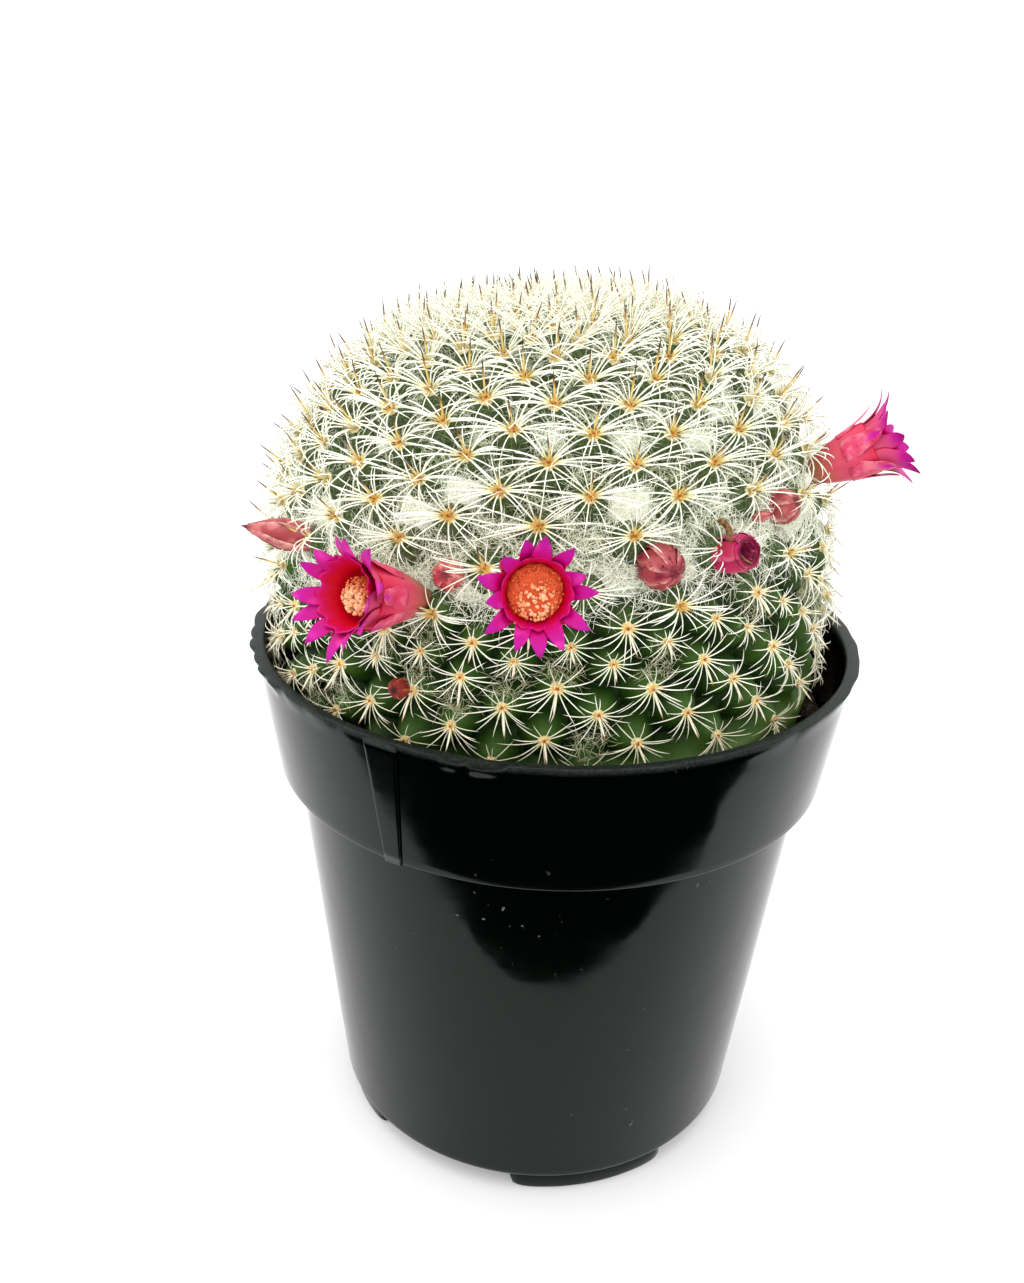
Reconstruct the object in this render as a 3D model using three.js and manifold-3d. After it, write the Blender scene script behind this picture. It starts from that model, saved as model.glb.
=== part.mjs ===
// A round cactus in flower, growing in a black nursery pot. Millimetres, +Z up, front towards -Y.
// An azimuth is measured from the front (-Y) towards +X. Sizes are written about the pot's axis, and the
// last lines move the whole so that the origin is under the middle of its outline, on the ground.

import * as THREE from "three";
import { mergeVertices } from "three/addons/utils/BufferGeometryUtils.js";
import { ConvexHull } from "three/addons/math/ConvexHull.js";
import Module from "manifold-3d";

const wasm = await Module();
wasm.setup();

const DEG = Math.PI / 180;
const GAP = 0.3; // clearance between pieces that touch
const ROUND_STEPS = 72; // facets round the pot and the soil

// ---- Driving dimensions: pot ----
const RIM_RADIUS = 52.5;
const POT_HEIGHT = 96;
const COLLAR_DEPTH = 22.8;
const COLLAR_FOOT_RADIUS = 49.3;
const BODY_TOP_RADIUS = 46.3;
const BODY_FOOT_RADIUS = 38.8;
const WALL = 1.1;
const LIP = 1.6;
const FLOOR = 1.5;
const FLOOR_EDGE = 1.2; // bevel round the bottom edge
const FOOT = { count: 4, height: 3.5, arc: 48, first: 16, outer: 37.6, inner: 33.4 };
const DRAIN = { count: 4, radius: 4, place: 27 };
const STRIP = { count: 2, first: -30, top: 6, bottom: 3, proud: 0.4, below: 0.3, overhang: 0.1 };
const SOIL_TOP = 82.5;
const SOIL_CROWN = 0.6; // how far the middle stands above the edge

// ---- Driving dimensions: stem ----
const STEM = { x: -1.6, z: 95.9, radius: 48, rise: 55.6, power: 2.6, evenness: 0.86 };
const CROWN_TILT = { slope: 0.04, from: 110, to: 148 }; // the crown grew a little higher towards +X
const WAIST = { top: 112, bottom: 100, share: 0.02 };
const LEAN = { left: 5.4, back: 2.6 }; // tilt of the growing axis, degrees
const PAIR_TURN = -68.7; // degrees from one pair of tubercles to the next, half the golden angle
const FIRST_TURN = 156;
// Angle from the crown, in degrees, that the given pair has reached: dense young pairs at the crown,
// a wide step at the ring of flowers, and a belt of small tubercles from a resting season below it.
const GROWTH = [[0, 1.5], [10, 9.8], [24, 17.6], [48, 28], [81, 42.5], [114, 56.4], [129, 69.6],
  [156, 76.2], [176, 84.8], [202, 98]];
const LAST_SPINED_PAIR = 129;
const TUBERCLE_SLOPE = 0.85; // depth of a valley for each millimetre from the tip
const SPINE = { root: 0.5, length: 5.6, young: 3.4, grownPair: 40, lift: 0.45 };
// Rings of the smooth underside and the root neck: height, radius and number of points.
const UNDERSIDE = [[77, 44, 24], [69, 39.5, 18], [61, 27, 12], [55, 9, 6], [49, 0, 1]];

// ---- Driving dimensions: flowers, with heights along the flower from the tubercle tips ----
const TUBE = [[-3.5, 1.2], [-1, 1.9], [2, 3], [6, 4.1], [9, 4.3]];
const TUBE_BORE = 2.7;
const TUBE_FLOOR = 3.2;
const TEPAL = { thickness: 0.35, base: 1.6, width: 3.2, swell: 1.8, steps: 5 };
// A tepal's middle follows a quadratic curve over its bend, which lies at a share of its height.
const OUTER_WHORL = { start: 3.9, bend: 5, share: 0.8, tip: 7.8, height: 13.8 };
const INNER_WHORL = { start: 3.05, bend: 3.9, share: 0.8, tip: 7, height: 15 };
const STAMENS = { inner: 0.95, outer: 2.3, top: 10.6, anther: 0.5, rings: [5, 9] };
const PISTIL = { radius: 0.35, top: 11.8, stigma: 0.75, lobes: 1 };
// Each stands on the stem at an azimuth and a height, and points to a second azimuth with a rise. The stamens
// and the pistil may end deeper in the funnel. A closed piece is sunk into the wool.
const FLOWERS = [
  { name: "flower_front", azimuth: -5.7, height: 121.4, faces: 8, rise: 13, outer: 7, inner: 6, turn: 4 },
  {
    name: "flower_left", azimuth: -25.5, height: 117, faces: -43, rise: 17, size: 1.08,
    outer: 7, inner: 6, turn: 12, deeper: 1.9,
  },
  { name: "flower_right", azimuth: 76.4, height: 127.7, faces: 85, rise: 28, outer: 6, inner: 5, turn: 20 },
];
// Closed pieces turned about their own axis: the number of folds, and a profile of height and radius.
const BUD = {
  folds: 5,
  profile: [[-3, 0], [-2, 1.5], [1, 2.2], [3.6, 2.35], [6.2, 1.6], [8.5, 0.6], [9.8, 0]],
};
const BALL = {
  folds: 7,
  profile: [[-3, 0], [-2, 1.5], [0.5, 3], [2.6, 3.3], [4.6, 2.6], [5.6, 1.2], [5.2, 0]],
};
const CUP = { folds: 8, profile: [[-3, 0], [-2, 1.4], [1, 2.6], [4, 3], [6, 2.6], [6.6, 1.5], [5, 0]] };
const KNOB = { folds: 6, profile: [[-2.4, 0], [-1.8, 1.4], [0.4, 2.5], [2.4, 2.5], [3.8, 1.4], [3.6, 0]] };
const CLOSED = [
  { ...BUD, name: "bud_left", azimuth: -56.7, height: 119.8, faces: -84, rise: 12, sunk: 0.5 },
  {
    ...KNOB, name: "withered_flower_1", azimuth: -19.7, height: 121.1, faces: -14, rise: 22,
    size: 0.9, sunk: 2.8,
  },
  { ...BALL, name: "withered_flower_2", azimuth: 18.6, height: 123, faces: 30, rise: 6, sunk: 2 },
  {
    ...CUP, name: "withered_flower_3", azimuth: 33.1, height: 123.2, faces: 34, rise: 22,
    size: 0.95, sunk: 2,
  },
  { ...KNOB, name: "withered_flower_4", azimuth: 52, height: 127.1, faces: 55, rise: 30, sunk: 2 },
  { ...BUD, name: "bud_small", azimuth: 41.7, height: 127, faces: 40, rise: 25, size: 0.32 },
  { ...KNOB, name: "dried_fruit", azimuth: -27.3, height: 102.9, faces: -28, rise: 8, size: 0.62 },
];
const FOLD_DEPTH = 0.06; // of the radius

// ---- Materials ----
const plastic = new THREE.MeshStandardMaterial({ color: 0x0b0c0c, roughness: 0.25 });
const earth = new THREE.MeshStandardMaterial({ color: 0x2c2018, roughness: 1 });
const flesh = new THREE.MeshStandardMaterial({ color: 0x2f5230, roughness: 0.6 });
const magenta = new THREE.MeshStandardMaterial({ color: 0xb3128c, roughness: 0.5 });
const salmon = new THREE.MeshStandardMaterial({ color: 0xd4607a, roughness: 0.55 });
const orange = new THREE.MeshStandardMaterial({ color: 0xf08a4a, roughness: 0.7 });
const crimson = new THREE.MeshStandardMaterial({ color: 0xb01030, roughness: 0.6 });
const withered = new THREE.MeshStandardMaterial({ color: 0xb5626a, roughness: 0.8 });
const dried = new THREE.MeshStandardMaterial({ color: 0x5a1a12, roughness: 0.8 });

// ---- Solids and geometries ----

// A closed geometry as a solid: vertices at one place are joined, and faces with no area are dropped.
function solidOf(geometry) {
  const loose = geometry.index ? geometry.toNonIndexed() : geometry;
  const bare = new THREE.BufferGeometry().setAttribute("position", loose.getAttribute("position"));
  const merged = mergeVertices(bare, 1e-4);
  const corners = merged.index.array;
  const kept = [];
  for (let i = 0; i < corners.length; i += 3) {
    const [a, b, c] = corners.slice(i, i + 3);
    if (a !== b && b !== c && c !== a) kept.push(a, b, c);
  }
  return new wasm.Manifold(new wasm.Mesh({
    numProp: 3,
    vertProperties: merged.attributes.position.array,
    triVerts: new Uint32Array(kept),
  }));
}

function geometryOf(solid) {
  const mesh = solid.getMesh();
  const geometry = new THREE.BufferGeometry();
  geometry.setAttribute("position", new THREE.BufferAttribute(new Float32Array(mesh.vertProperties), 3));
  geometry.setIndex(new THREE.BufferAttribute(new Uint32Array(mesh.triVerts), 1));
  geometry.computeVertexNormals();
  return geometry;
}

// A profile of [height, radius] points turned about Z, with an optional number of shallow folds.
function turned(profile, steps, folds = 0) {
  const points = profile.map(([height, radius]) => new THREE.Vector2(radius, height));
  const geometry = new THREE.LatheGeometry(points, steps).rotateX(Math.PI / 2);
  const place = geometry.attributes.position;
  for (let i = 0; folds && i < place.count; i += 1) {
    const swell = 1 + FOLD_DEPTH * Math.cos(folds * Math.atan2(place.getY(i), place.getX(i)));
    place.setXY(i, place.getX(i) * swell, place.getY(i) * swell);
  }
  return geometry;
}

function placed(name, geometry, material) {
  const mesh = new THREE.Mesh(geometry, material);
  mesh.name = name;
  return mesh;
}

function heading(azimuth, rise = 0) {
  const level = Math.cos(rise * DEG);
  const [x, y] = [level * Math.sin(azimuth * DEG), -level * Math.cos(azimuth * DEG)];
  return new THREE.Vector3(x, y, Math.sin(rise * DEG));
}

// ---- Pot: one moulding ----

const collarFoot = POT_HEIGHT - COLLAR_DEPTH;
const floorTop = FOOT.height + FLOOR;
const collarLean = Math.atan2(RIM_RADIUS - COLLAR_FOOT_RADIUS, COLLAR_DEPTH);

function foot(azimuth) {
  const start = (azimuth - 90 - FOOT.arc / 2) * DEG;
  const end = start + FOOT.arc * DEG;
  const outline = new THREE.Shape();
  outline.absarc(0, 0, FOOT.outer, start, end, false);
  outline.absarc(0, 0, FOOT.inner, end, start, true);
  outline.closePath();
  const depth = FOOT.height + FLOOR / 2;
  return new THREE.ExtrudeGeometry(outline, { depth, bevelEnabled: false, curveSegments: 8 });
}

// A wedge that narrows downwards, laid on the slope of the collar and a little proud of it.
function strip(azimuth) {
  const length = (COLLAR_DEPTH + STRIP.overhang - STRIP.below) / Math.cos(collarLean);
  const outline = new THREE.Shape();
  outline.moveTo(-STRIP.top / 2, 0);
  outline.lineTo(-STRIP.bottom / 2, -length);
  outline.lineTo(STRIP.bottom / 2, -length);
  outline.lineTo(STRIP.top / 2, 0);
  outline.closePath();
  const thick = STRIP.proud + WALL - GAP;
  const plate = new THREE.ExtrudeGeometry(outline, { depth: thick, bevelEnabled: false });
  plate.translate(0, 0, STRIP.proud - thick); // outer face proud of the collar
  plate.rotateX(Math.PI / 2 + collarLean);
  plate.translate(0, -RIM_RADIUS, POT_HEIGHT - STRIP.below);
  return plate.rotateZ(azimuth * DEG);
}

function pot() {
  const wall = [
    [FOOT.height, 0],
    [FOOT.height, BODY_FOOT_RADIUS - FLOOR_EDGE],
    [FOOT.height + FLOOR_EDGE, BODY_FOOT_RADIUS],
    [collarFoot, BODY_TOP_RADIUS],
    [collarFoot, COLLAR_FOOT_RADIUS],
    [POT_HEIGHT, RIM_RADIUS],
    [POT_HEIGHT, RIM_RADIUS - LIP],
    [collarFoot + WALL, COLLAR_FOOT_RADIUS - WALL],
    [collarFoot + WALL, BODY_TOP_RADIUS - WALL],
    [floorTop, BODY_FOOT_RADIUS - WALL],
    [floorTop, 0],
  ];
  let solid = solidOf(turned(wall, ROUND_STEPS));
  for (let i = 0; i < FOOT.count; i += 1) {
    solid = solid.add(solidOf(foot(FOOT.first + (i * 360) / FOOT.count)));
  }
  for (let i = 0; i < STRIP.count; i += 1) {
    solid = solid.add(solidOf(strip(STRIP.first + (i * 360) / STRIP.count)));
  }
  const bore = new THREE.CylinderGeometry(DRAIN.radius, DRAIN.radius, 3 * FLOOR, 16).rotateX(Math.PI / 2);
  bore.translate(0, 0, floorTop - FLOOR / 2);
  for (let i = 0; i < DRAIN.count; i += 1) {
    const between = FOOT.first + ((i + 0.5) * 360) / DRAIN.count;
    const { x, y } = heading(between).multiplyScalar(DRAIN.place);
    solid = solid.subtract(solidOf(bore.clone().translate(x, y, 0)));
  }
  return solid.subtract(solidOf(bore));
}

// ---- Stem: one grown piece ----

const stemCentre = new THREE.Vector3(STEM.x, 0, STEM.z);
const leanAxis = new THREE.Vector3(-Math.sin(LEAN.left * DEG), Math.sin(LEAN.back * DEG), 1).normalize();
const lean = new THREE.Quaternion().setFromUnitVectors(new THREE.Vector3(0, 0, 1), leanAxis);

// The share of the full radius at a height: a slight waist below the ring of flowers.
function waist(height) {
  return 1 - WAIST.share * THREE.MathUtils.smoothstep(WAIST.top - height, 0, WAIST.top - WAIST.bottom);
}

// Lifts a point of the crown by the tilt's slope, which sets in smoothly over a range of heights.
function tilted(point) {
  const share = THREE.MathUtils.smoothstep(point.z, CROWN_TILT.from, CROWN_TILT.to);
  point.z += CROWN_TILT.slope * point.x * share;
  return point;
}

// The stem's outline is a squared ellipsoid, (r / radius)^power + (z / rise)^power = 1, with a tilted crown.
function stemPoint(direction) {
  const stretch = new THREE.Vector3(STEM.radius, STEM.radius, STEM.rise * STEM.evenness);
  const arm = direction.clone().multiply(stretch);
  const level = Math.hypot(arm.x, arm.y) / STEM.radius;
  const upright = Math.abs(arm.z) / STEM.rise;
  arm.multiplyScalar((level ** STEM.power + upright ** STEM.power) ** (-1 / STEM.power));
  const narrow = waist(arm.z + STEM.z);
  return tilted(arm.multiply(new THREE.Vector3(narrow, narrow, 1)).add(stemCentre));
}

function stemPointAt(azimuth, height) {
  const upright = Math.abs(height - STEM.z) / STEM.rise;
  const radius = STEM.radius * waist(height) * (1 - upright ** STEM.power) ** (1 / STEM.power);
  return tilted(heading(azimuth).multiplyScalar(radius).add(new THREE.Vector3(STEM.x, 0, height)));
}

function angleFromCrown(pair) {
  const next = Math.max(1, GROWTH.findIndex(([reached]) => reached >= pair));
  const [[fromPair, fromAngle], [toPair, toAngle]] = [GROWTH[next - 1], GROWTH[next]];
  return THREE.MathUtils.mapLinear(pair, fromPair, toPair, fromAngle, toAngle);
}

// Every tubercle's tip, and the points of the smooth underside, each with its length of spine.
function stemTips(withSpines) {
  const tips = [];
  const lastPair = GROWTH.at(-1)[0];
  for (let pair = 0; pair <= lastPair; pair += 1) {
    const polar = angleFromCrown(pair) * DEG;
    for (const half of [0, 180]) {
      const turn = (FIRST_TURN + half + pair * PAIR_TURN) * DEG;
      const level = Math.sin(polar);
      const [x, y] = [level * Math.cos(turn), level * Math.sin(turn)];
      const direction = new THREE.Vector3(x, y, Math.cos(polar));
      const grown = Math.min(1, pair / SPINE.grownPair);
      const spined = withSpines && pair <= LAST_SPINED_PAIR;
      const spine = spined ? THREE.MathUtils.lerp(SPINE.young, SPINE.length, grown) : 0;
      tips.push({ point: stemPoint(direction.applyQuaternion(lean)), tubercle: 1, spine });
    }
  }
  for (const [height, radius, count] of UNDERSIDE) {
    for (let i = 0; i < count; i += 1) {
      const point = heading(((i + 0.5) * 360) / count).multiplyScalar(radius);
      tips.push({ point: point.add(new THREE.Vector3(STEM.x, 0, height)), tubercle: 0, spine: 0 });
    }
  }
  return tips;
}

// The hull of the tips' directions says which tips are neighbours. Each of its triangles gets a valley point
// below its middle, and each tip is joined to the valleys round it, with a spine standing on it.
function stem(grow, withSpines) {
  const tips = stemTips(withSpines);
  const owner = new Map();
  for (const tip of tips) {
    const ray = tip.point.clone().sub(stemCentre);
    tip.outward = ray.clone().normalize();
    tip.point.addScaledVector(tip.outward, grow);
    owner.set(tip.outward, tip);
  }
  const hull = new ConvexHull().setFromPoints(tips.map((tip) => tip.outward));
  const valleys = new Map();
  for (const face of hull.faces) {
    const edges = [face.edge, face.edge.next, face.edge.next.next];
    const corners = edges.map((edge) => owner.get(edge.head().point));
    const middle = new THREE.Vector3();
    for (const corner of corners) middle.addScaledVector(corner.point, 1 / 3);
    const reach = corners.reduce((sum, corner) => sum + corner.point.distanceTo(middle), 0) / 3;
    const share = corners.reduce((sum, corner) => sum + corner.tubercle, 0) / 3;
    const inward = stemCentre.clone().sub(middle).normalize();
    valleys.set(face, middle.addScaledVector(inward, TUBERCLE_SLOPE * reach * share));
  }
  const corners = [];
  const triangle = (...points) => points.forEach((point) => corners.push(point.x, point.y, point.z));
  for (const face of hull.faces) {
    for (const edge of [face.edge, face.edge.next, face.edge.next.next]) {
      const tip = owner.get(edge.tail().point);
      const [right, left] = [valleys.get(edge.twin.face), valleys.get(face)];
      if (tip.spine === 0) {
        triangle(tip.point, right, left);
      } else {
        const rim = (valley) => tip.point.clone().lerp(valley, SPINE.root / tip.point.distanceTo(valley));
        const point = tip.outward.clone().add(new THREE.Vector3(0, 0, SPINE.lift)).normalize();
        point.multiplyScalar(tip.spine).add(tip.point);
        triangle(rim(right), right, left);
        triangle(rim(right), left, rim(left));
        triangle(point, rim(right), rim(left));
      }
    }
  }
  const geometry = new THREE.BufferGeometry();
  geometry.setAttribute("position", new THREE.Float32BufferAttribute(corners, 3));
  return solidOf(geometry);
}

function soil() {
  const collarInside = (height) => THREE.MathUtils.mapLinear(height, collarFoot + WALL, POT_HEIGHT,
    COLLAR_FOOT_RADIUS - WALL, RIM_RADIUS - LIP);
  const ledge = collarFoot + WALL + GAP;
  return solidOf(turned([
    [floorTop + GAP, 0],
    [floorTop + GAP, BODY_FOOT_RADIUS - WALL - 2 * GAP],
    [ledge, BODY_TOP_RADIUS - WALL - 2 * GAP],
    [ledge, collarInside(ledge) - 2 * GAP],
    [SOIL_TOP, collarInside(SOIL_TOP) - 2 * GAP],
    [SOIL_TOP + SOIL_CROWN, 0],
  ], ROUND_STEPS));
}

// ---- Flowers ----

// A frame whose Z runs along the flower, standing on the stem.
function stand({ azimuth, height, faces, rise, size = 1, sunk = 0 }) {
  const frame = new THREE.Group();
  frame.position.copy(stemPointAt(azimuth, height)).addScaledVector(heading(faces, rise), -sunk);
  frame.quaternion.setFromUnitVectors(new THREE.Vector3(0, 0, 1), heading(faces, rise));
  frame.scale.setScalar(size);
  frame.updateMatrixWorld(true);
  return frame;
}

// A pointed blade with a lens-shaped section, along a curve that bends outwards from the tube.
function tepal(whorl) {
  const base = TUBE.at(-1)[0] + GAP;
  const curve = new THREE.QuadraticBezierCurve(
    new THREE.Vector2(whorl.start, base),
    new THREE.Vector2(whorl.bend, base + whorl.share * (whorl.height - base)),
    new THREE.Vector2(whorl.tip, whorl.height),
  );
  const rings = [];
  for (let i = 0; i < TEPAL.steps; i += 1) {
    const along = i / TEPAL.steps;
    const centre = curve.getPoint(along);
    const { x: out, y: up } = curve.getTangent(along);
    const swell = Math.sin(Math.min(1, along * TEPAL.swell) * (Math.PI / 2));
    const half = THREE.MathUtils.lerp(TEPAL.base, TEPAL.width, swell) / 2;
    const width = half * Math.sqrt(1 - along ** 2.5);
    const thick = TEPAL.thickness / 2;
    rings.push([
      new THREE.Vector3(centre.x, -width, centre.y),
      new THREE.Vector3(centre.x + up * thick, 0, centre.y - out * thick),
      new THREE.Vector3(centre.x, width, centre.y),
      new THREE.Vector3(centre.x - up * thick, 0, centre.y + out * thick),
    ]);
  }
  const tip = new THREE.Vector3(whorl.tip, 0, whorl.height);
  const corners = [];
  const triangle = (...points) => points.forEach((point) => corners.push(point.x, point.y, point.z));
  for (let side = 0; side < 4; side += 1) {
    const next = (side + 1) % 4;
    for (let i = 0; i + 1 < rings.length; i += 1) {
      triangle(rings[i][side], rings[i][next], rings[i + 1][next]);
      triangle(rings[i][side], rings[i + 1][next], rings[i + 1][side]);
    }
    triangle(rings.at(-1)[side], rings.at(-1)[next], tip);
  }
  const [first] = rings;
  triangle(first[0], first[2], first[1]);
  triangle(first[0], first[3], first[2]);
  const geometry = new THREE.BufferGeometry();
  geometry.setAttribute("position", new THREE.Float32BufferAttribute(corners, 3));
  geometry.computeVertexNormals();
  return geometry;
}

function flowerTube() {
  const rim = TUBE.at(-1)[0];
  return turned([[TUBE[0][0], 0], ...TUBE, [rim, TUBE_BORE], [TUBE_FLOOR, TUBE_BORE], [TUBE_FLOOR, 0]], 16);
}

// Filaments grown together into a ring, with two circles of anthers on top.
function stamens(deeper) {
  const foot = TUBE_FLOOR + GAP;
  const top = STAMENS.top - deeper;
  let solid = solidOf(turned([
    [foot, STAMENS.inner],
    [foot, STAMENS.outer],
    [top, STAMENS.outer],
    [top, STAMENS.inner],
    [foot, STAMENS.inner],
  ], 12));
  const places = [STAMENS.inner + STAMENS.anther, STAMENS.outer - STAMENS.anther / 2];
  for (const [ring, count] of STAMENS.rings.entries()) {
    for (let i = 0; i < count; i += 1) {
      const anther = new THREE.OctahedronGeometry(STAMENS.anther);
      const { x, y } = heading((i * 360) / count).multiplyScalar(places[ring]);
      solid = solid.add(solidOf(anther.translate(x, y, top + STAMENS.anther / 2)));
    }
  }
  return geometryOf(solid);
}

function pistil(deeper) {
  const foot = TUBE_FLOOR + GAP;
  const { radius, stigma, lobes } = PISTIL;
  const top = PISTIL.top - deeper;
  return turned([
    [foot, 0],
    [foot, radius],
    [top - lobes, radius],
    [top - lobes / 2, stigma],
    [top, stigma / 2],
    [top, 0],
  ], 8);
}

function flower({ deeper = 0, ...plan }) {
  const frame = stand(plan);
  frame.add(placed(`${plan.name}_tube`, flowerTube(), salmon));
  frame.add(placed(`${plan.name}_stamens`, stamens(deeper), orange));
  frame.add(placed(`${plan.name}_pistil`, pistil(deeper), crimson));
  const whorls = [["outer", plan.outer, OUTER_WHORL, 0], ["inner", plan.inner, INNER_WHORL, 0.5]];
  for (const [side, count, whorl, shift] of whorls) {
    for (let i = 0; i < count; i += 1) {
      const blade = placed(`${plan.name}_${side}_tepal_${i + 1}`, tepal(whorl), magenta);
      blade.rotation.z = (plan.turn + ((i + shift) * 360) / count) * DEG;
      frame.add(blade);
    }
  }
  return frame;
}

// The hollow that a piece sits in: its profile, wider by the clearance.
function pocket(frame, profile) {
  const wide = profile.map(([height, radius]) => [height, radius && radius + GAP / frame.scale.x]);
  wide[0][0] -= GAP / frame.scale.x;
  wide.at(-1)[0] += GAP / frame.scale.x;
  return solidOf(turned(wide, 16).applyMatrix4(frame.matrixWorld));
}

// ---- Assembly ----

const plant = new THREE.Group();
const pockets = [];
for (const plan of FLOWERS) {
  const frame = flower(plan);
  pockets.push(pocket(frame, [[TUBE[0][0], 0], ...TUBE, [TUBE.at(-1)[0], 0]]));
  plant.add(frame);
}
for (const plan of CLOSED) {
  const frame = stand(plan);
  const material = plan.name.startsWith("bud") ? salmon : plan.name === "dried_fruit" ? dried : withered;
  frame.add(placed(plan.name, turned(plan.profile, 15, plan.folds), material));
  pockets.push(pocket(frame, plan.profile.map(([height, radius]) => [height, radius * (1 + FOLD_DEPTH)])));
  plant.add(frame);
}

// A spine that a pocket cuts off goes with the pocket, so only the largest body is kept.
const cutStem = pockets.reduce((solid, hollow) => solid.subtract(hollow), stem(0, true));
const stemBody = cutStem.decompose().sort((a, b) => b.volume() - a.volume())[0];

const whole = new THREE.Group();
whole.add(placed("pot", geometryOf(pot()), plastic));
whole.add(placed("soil", geometryOf(soil().subtract(stem(GAP, false))), earth));
whole.add(placed("cactus_stem", geometryOf(stemBody), flesh));
whole.add(plant);

const middle = new THREE.Box3().setFromObject(whole).getCenter(new THREE.Vector3());
whole.position.set(-middle.x, -middle.y, 0);

const part = new THREE.Group();
part.add(whole);
export default part;
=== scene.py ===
# A round cactus in flower in a black nursery pot. Shapes are worked out in millimetres about the pot's axis,
# with azimuths in degrees from the front (-Y) towards +X, and are placed in the frame in metres.

import bpy
import numpy as np
from mathutils import Matrix, Vector


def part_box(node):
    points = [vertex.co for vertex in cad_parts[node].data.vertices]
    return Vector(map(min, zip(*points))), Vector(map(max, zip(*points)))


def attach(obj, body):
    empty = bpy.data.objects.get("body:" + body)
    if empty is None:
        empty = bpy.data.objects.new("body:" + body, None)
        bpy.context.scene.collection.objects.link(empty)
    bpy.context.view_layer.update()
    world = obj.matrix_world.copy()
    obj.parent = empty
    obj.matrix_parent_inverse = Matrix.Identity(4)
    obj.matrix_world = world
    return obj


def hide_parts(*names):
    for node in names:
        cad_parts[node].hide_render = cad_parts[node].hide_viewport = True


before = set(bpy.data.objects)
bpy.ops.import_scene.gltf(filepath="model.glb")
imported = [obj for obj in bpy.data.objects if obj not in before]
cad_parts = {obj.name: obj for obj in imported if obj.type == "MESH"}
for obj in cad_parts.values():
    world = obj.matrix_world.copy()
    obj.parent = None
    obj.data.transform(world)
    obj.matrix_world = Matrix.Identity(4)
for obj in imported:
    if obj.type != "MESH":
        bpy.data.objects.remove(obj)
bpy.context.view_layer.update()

# ---- Pot ----
# One moulding of black polypropylene: a tapered body on four feet, a deep collar with a sharp step under it,
# two flat wedge-shaped strips on the collar, and a lip that is matt, chipped and frayed by use.

MM = 0.001
UP = np.array([0, 0, 1.0])
RIM_RADIUS, POT_HEIGHT = 52.5, 96.0
COLLAR_FOOT_RADIUS, COLLAR_FOOT = 49.3, 73.2
BODY_TOP_RADIUS, BODY_FOOT_RADIUS, BODY_CHAMFER = 46.3, 38.8, 0.9
WALL, FLOOR, LIP = 1.1, 1.5, 1.6
POLE_RADIUS = 0.6  # of the small rings that close a turned piece at its axis
POT_COLUMNS = 360
WORN_DEPTH, WORN_SHARE = 1.6, 0.45  # how far down, and over which outer share of the lip, its edge is worn
# Chips and burrs on the lip: azimuth and half-width in degrees, and how far the edge stands out.
LIP_BURRS = [
    (-101, 9, 0.7), (-90, 6, 0.95), (-82, 3.4, 0.85), (-76, 3.2, 1.0), (-70, 3, 0.85), (-64.5, 2.6, 1.1),
    (-59.5, 2.4, 0.9), (-51, 3.5, 0.35), (-44, 4, 0.3), (-17.5, 2.2, 0.5), (-11.5, 3.2, 0.7), (38, 6, 0.2),
    (52, 8, 0.25), (88, 36, 0.7), (150, 7, 0.3), (-150, 4, 0.4),
]
LIP_MELT = (-13.5, 5.5, 0.8)  # azimuth, half-width and drop of the melted stretch
LIP_WAVES = [(0.06, 31, 0), (0.05, 47, 40)]  # height, number round the lip and phase of the fine waves
LIP_SAG = 0.12
STRIP_AZIMUTHS = (-30, 150)
STRIP_WIDTHS = (3.0, 6.0)  # at the collar's lower edge and at the lip
STRIP_THICKNESS, STRIP_PROUD = 1.2, 0.4
STRIP_OVERHANG, STRIP_UNDER_LIP = 0.1, 0.25
FOOT_AZIMUTHS = (16, 106, 196, 286)
FOOT_ARC, FOOT_RADII = 48, (33.4, 37.6)
FOOT_HEIGHT, FOOT_IN_BODY = 3.5, 0.8

low, high = (np.array(corner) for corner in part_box("pot"))
pot_axis = np.array([*(low + high)[:2] / 2, 0.0])


def circle(count):
    """Angles in degrees, spread evenly round a circle."""
    return np.arange(count) * 360 / count


def heading(azimuth, rise=0.0):
    """Unit vectors that point to an azimuth and rise above level by an angle, both in degrees."""
    turn, lift = np.radians(azimuth), np.radians(rise)
    parts = np.cos(lift) * np.sin(turn), -np.cos(lift) * np.cos(turn), np.sin(lift)
    return np.stack(np.broadcast_arrays(*parts), -1)


def about_axis(radius, angle, height):
    """Points at a radius and an angle in degrees round the Z axis, from +X towards +Y, and at a height."""
    angle = np.radians(angle)
    return np.stack(np.broadcast_arrays(radius * np.cos(angle), radius * np.sin(angle), height), -1)


def unit(vectors):
    """Vectors divided by their lengths."""
    return vectors / np.maximum(np.linalg.norm(vectors, axis=-1, keepdims=True), 1e-9)


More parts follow.
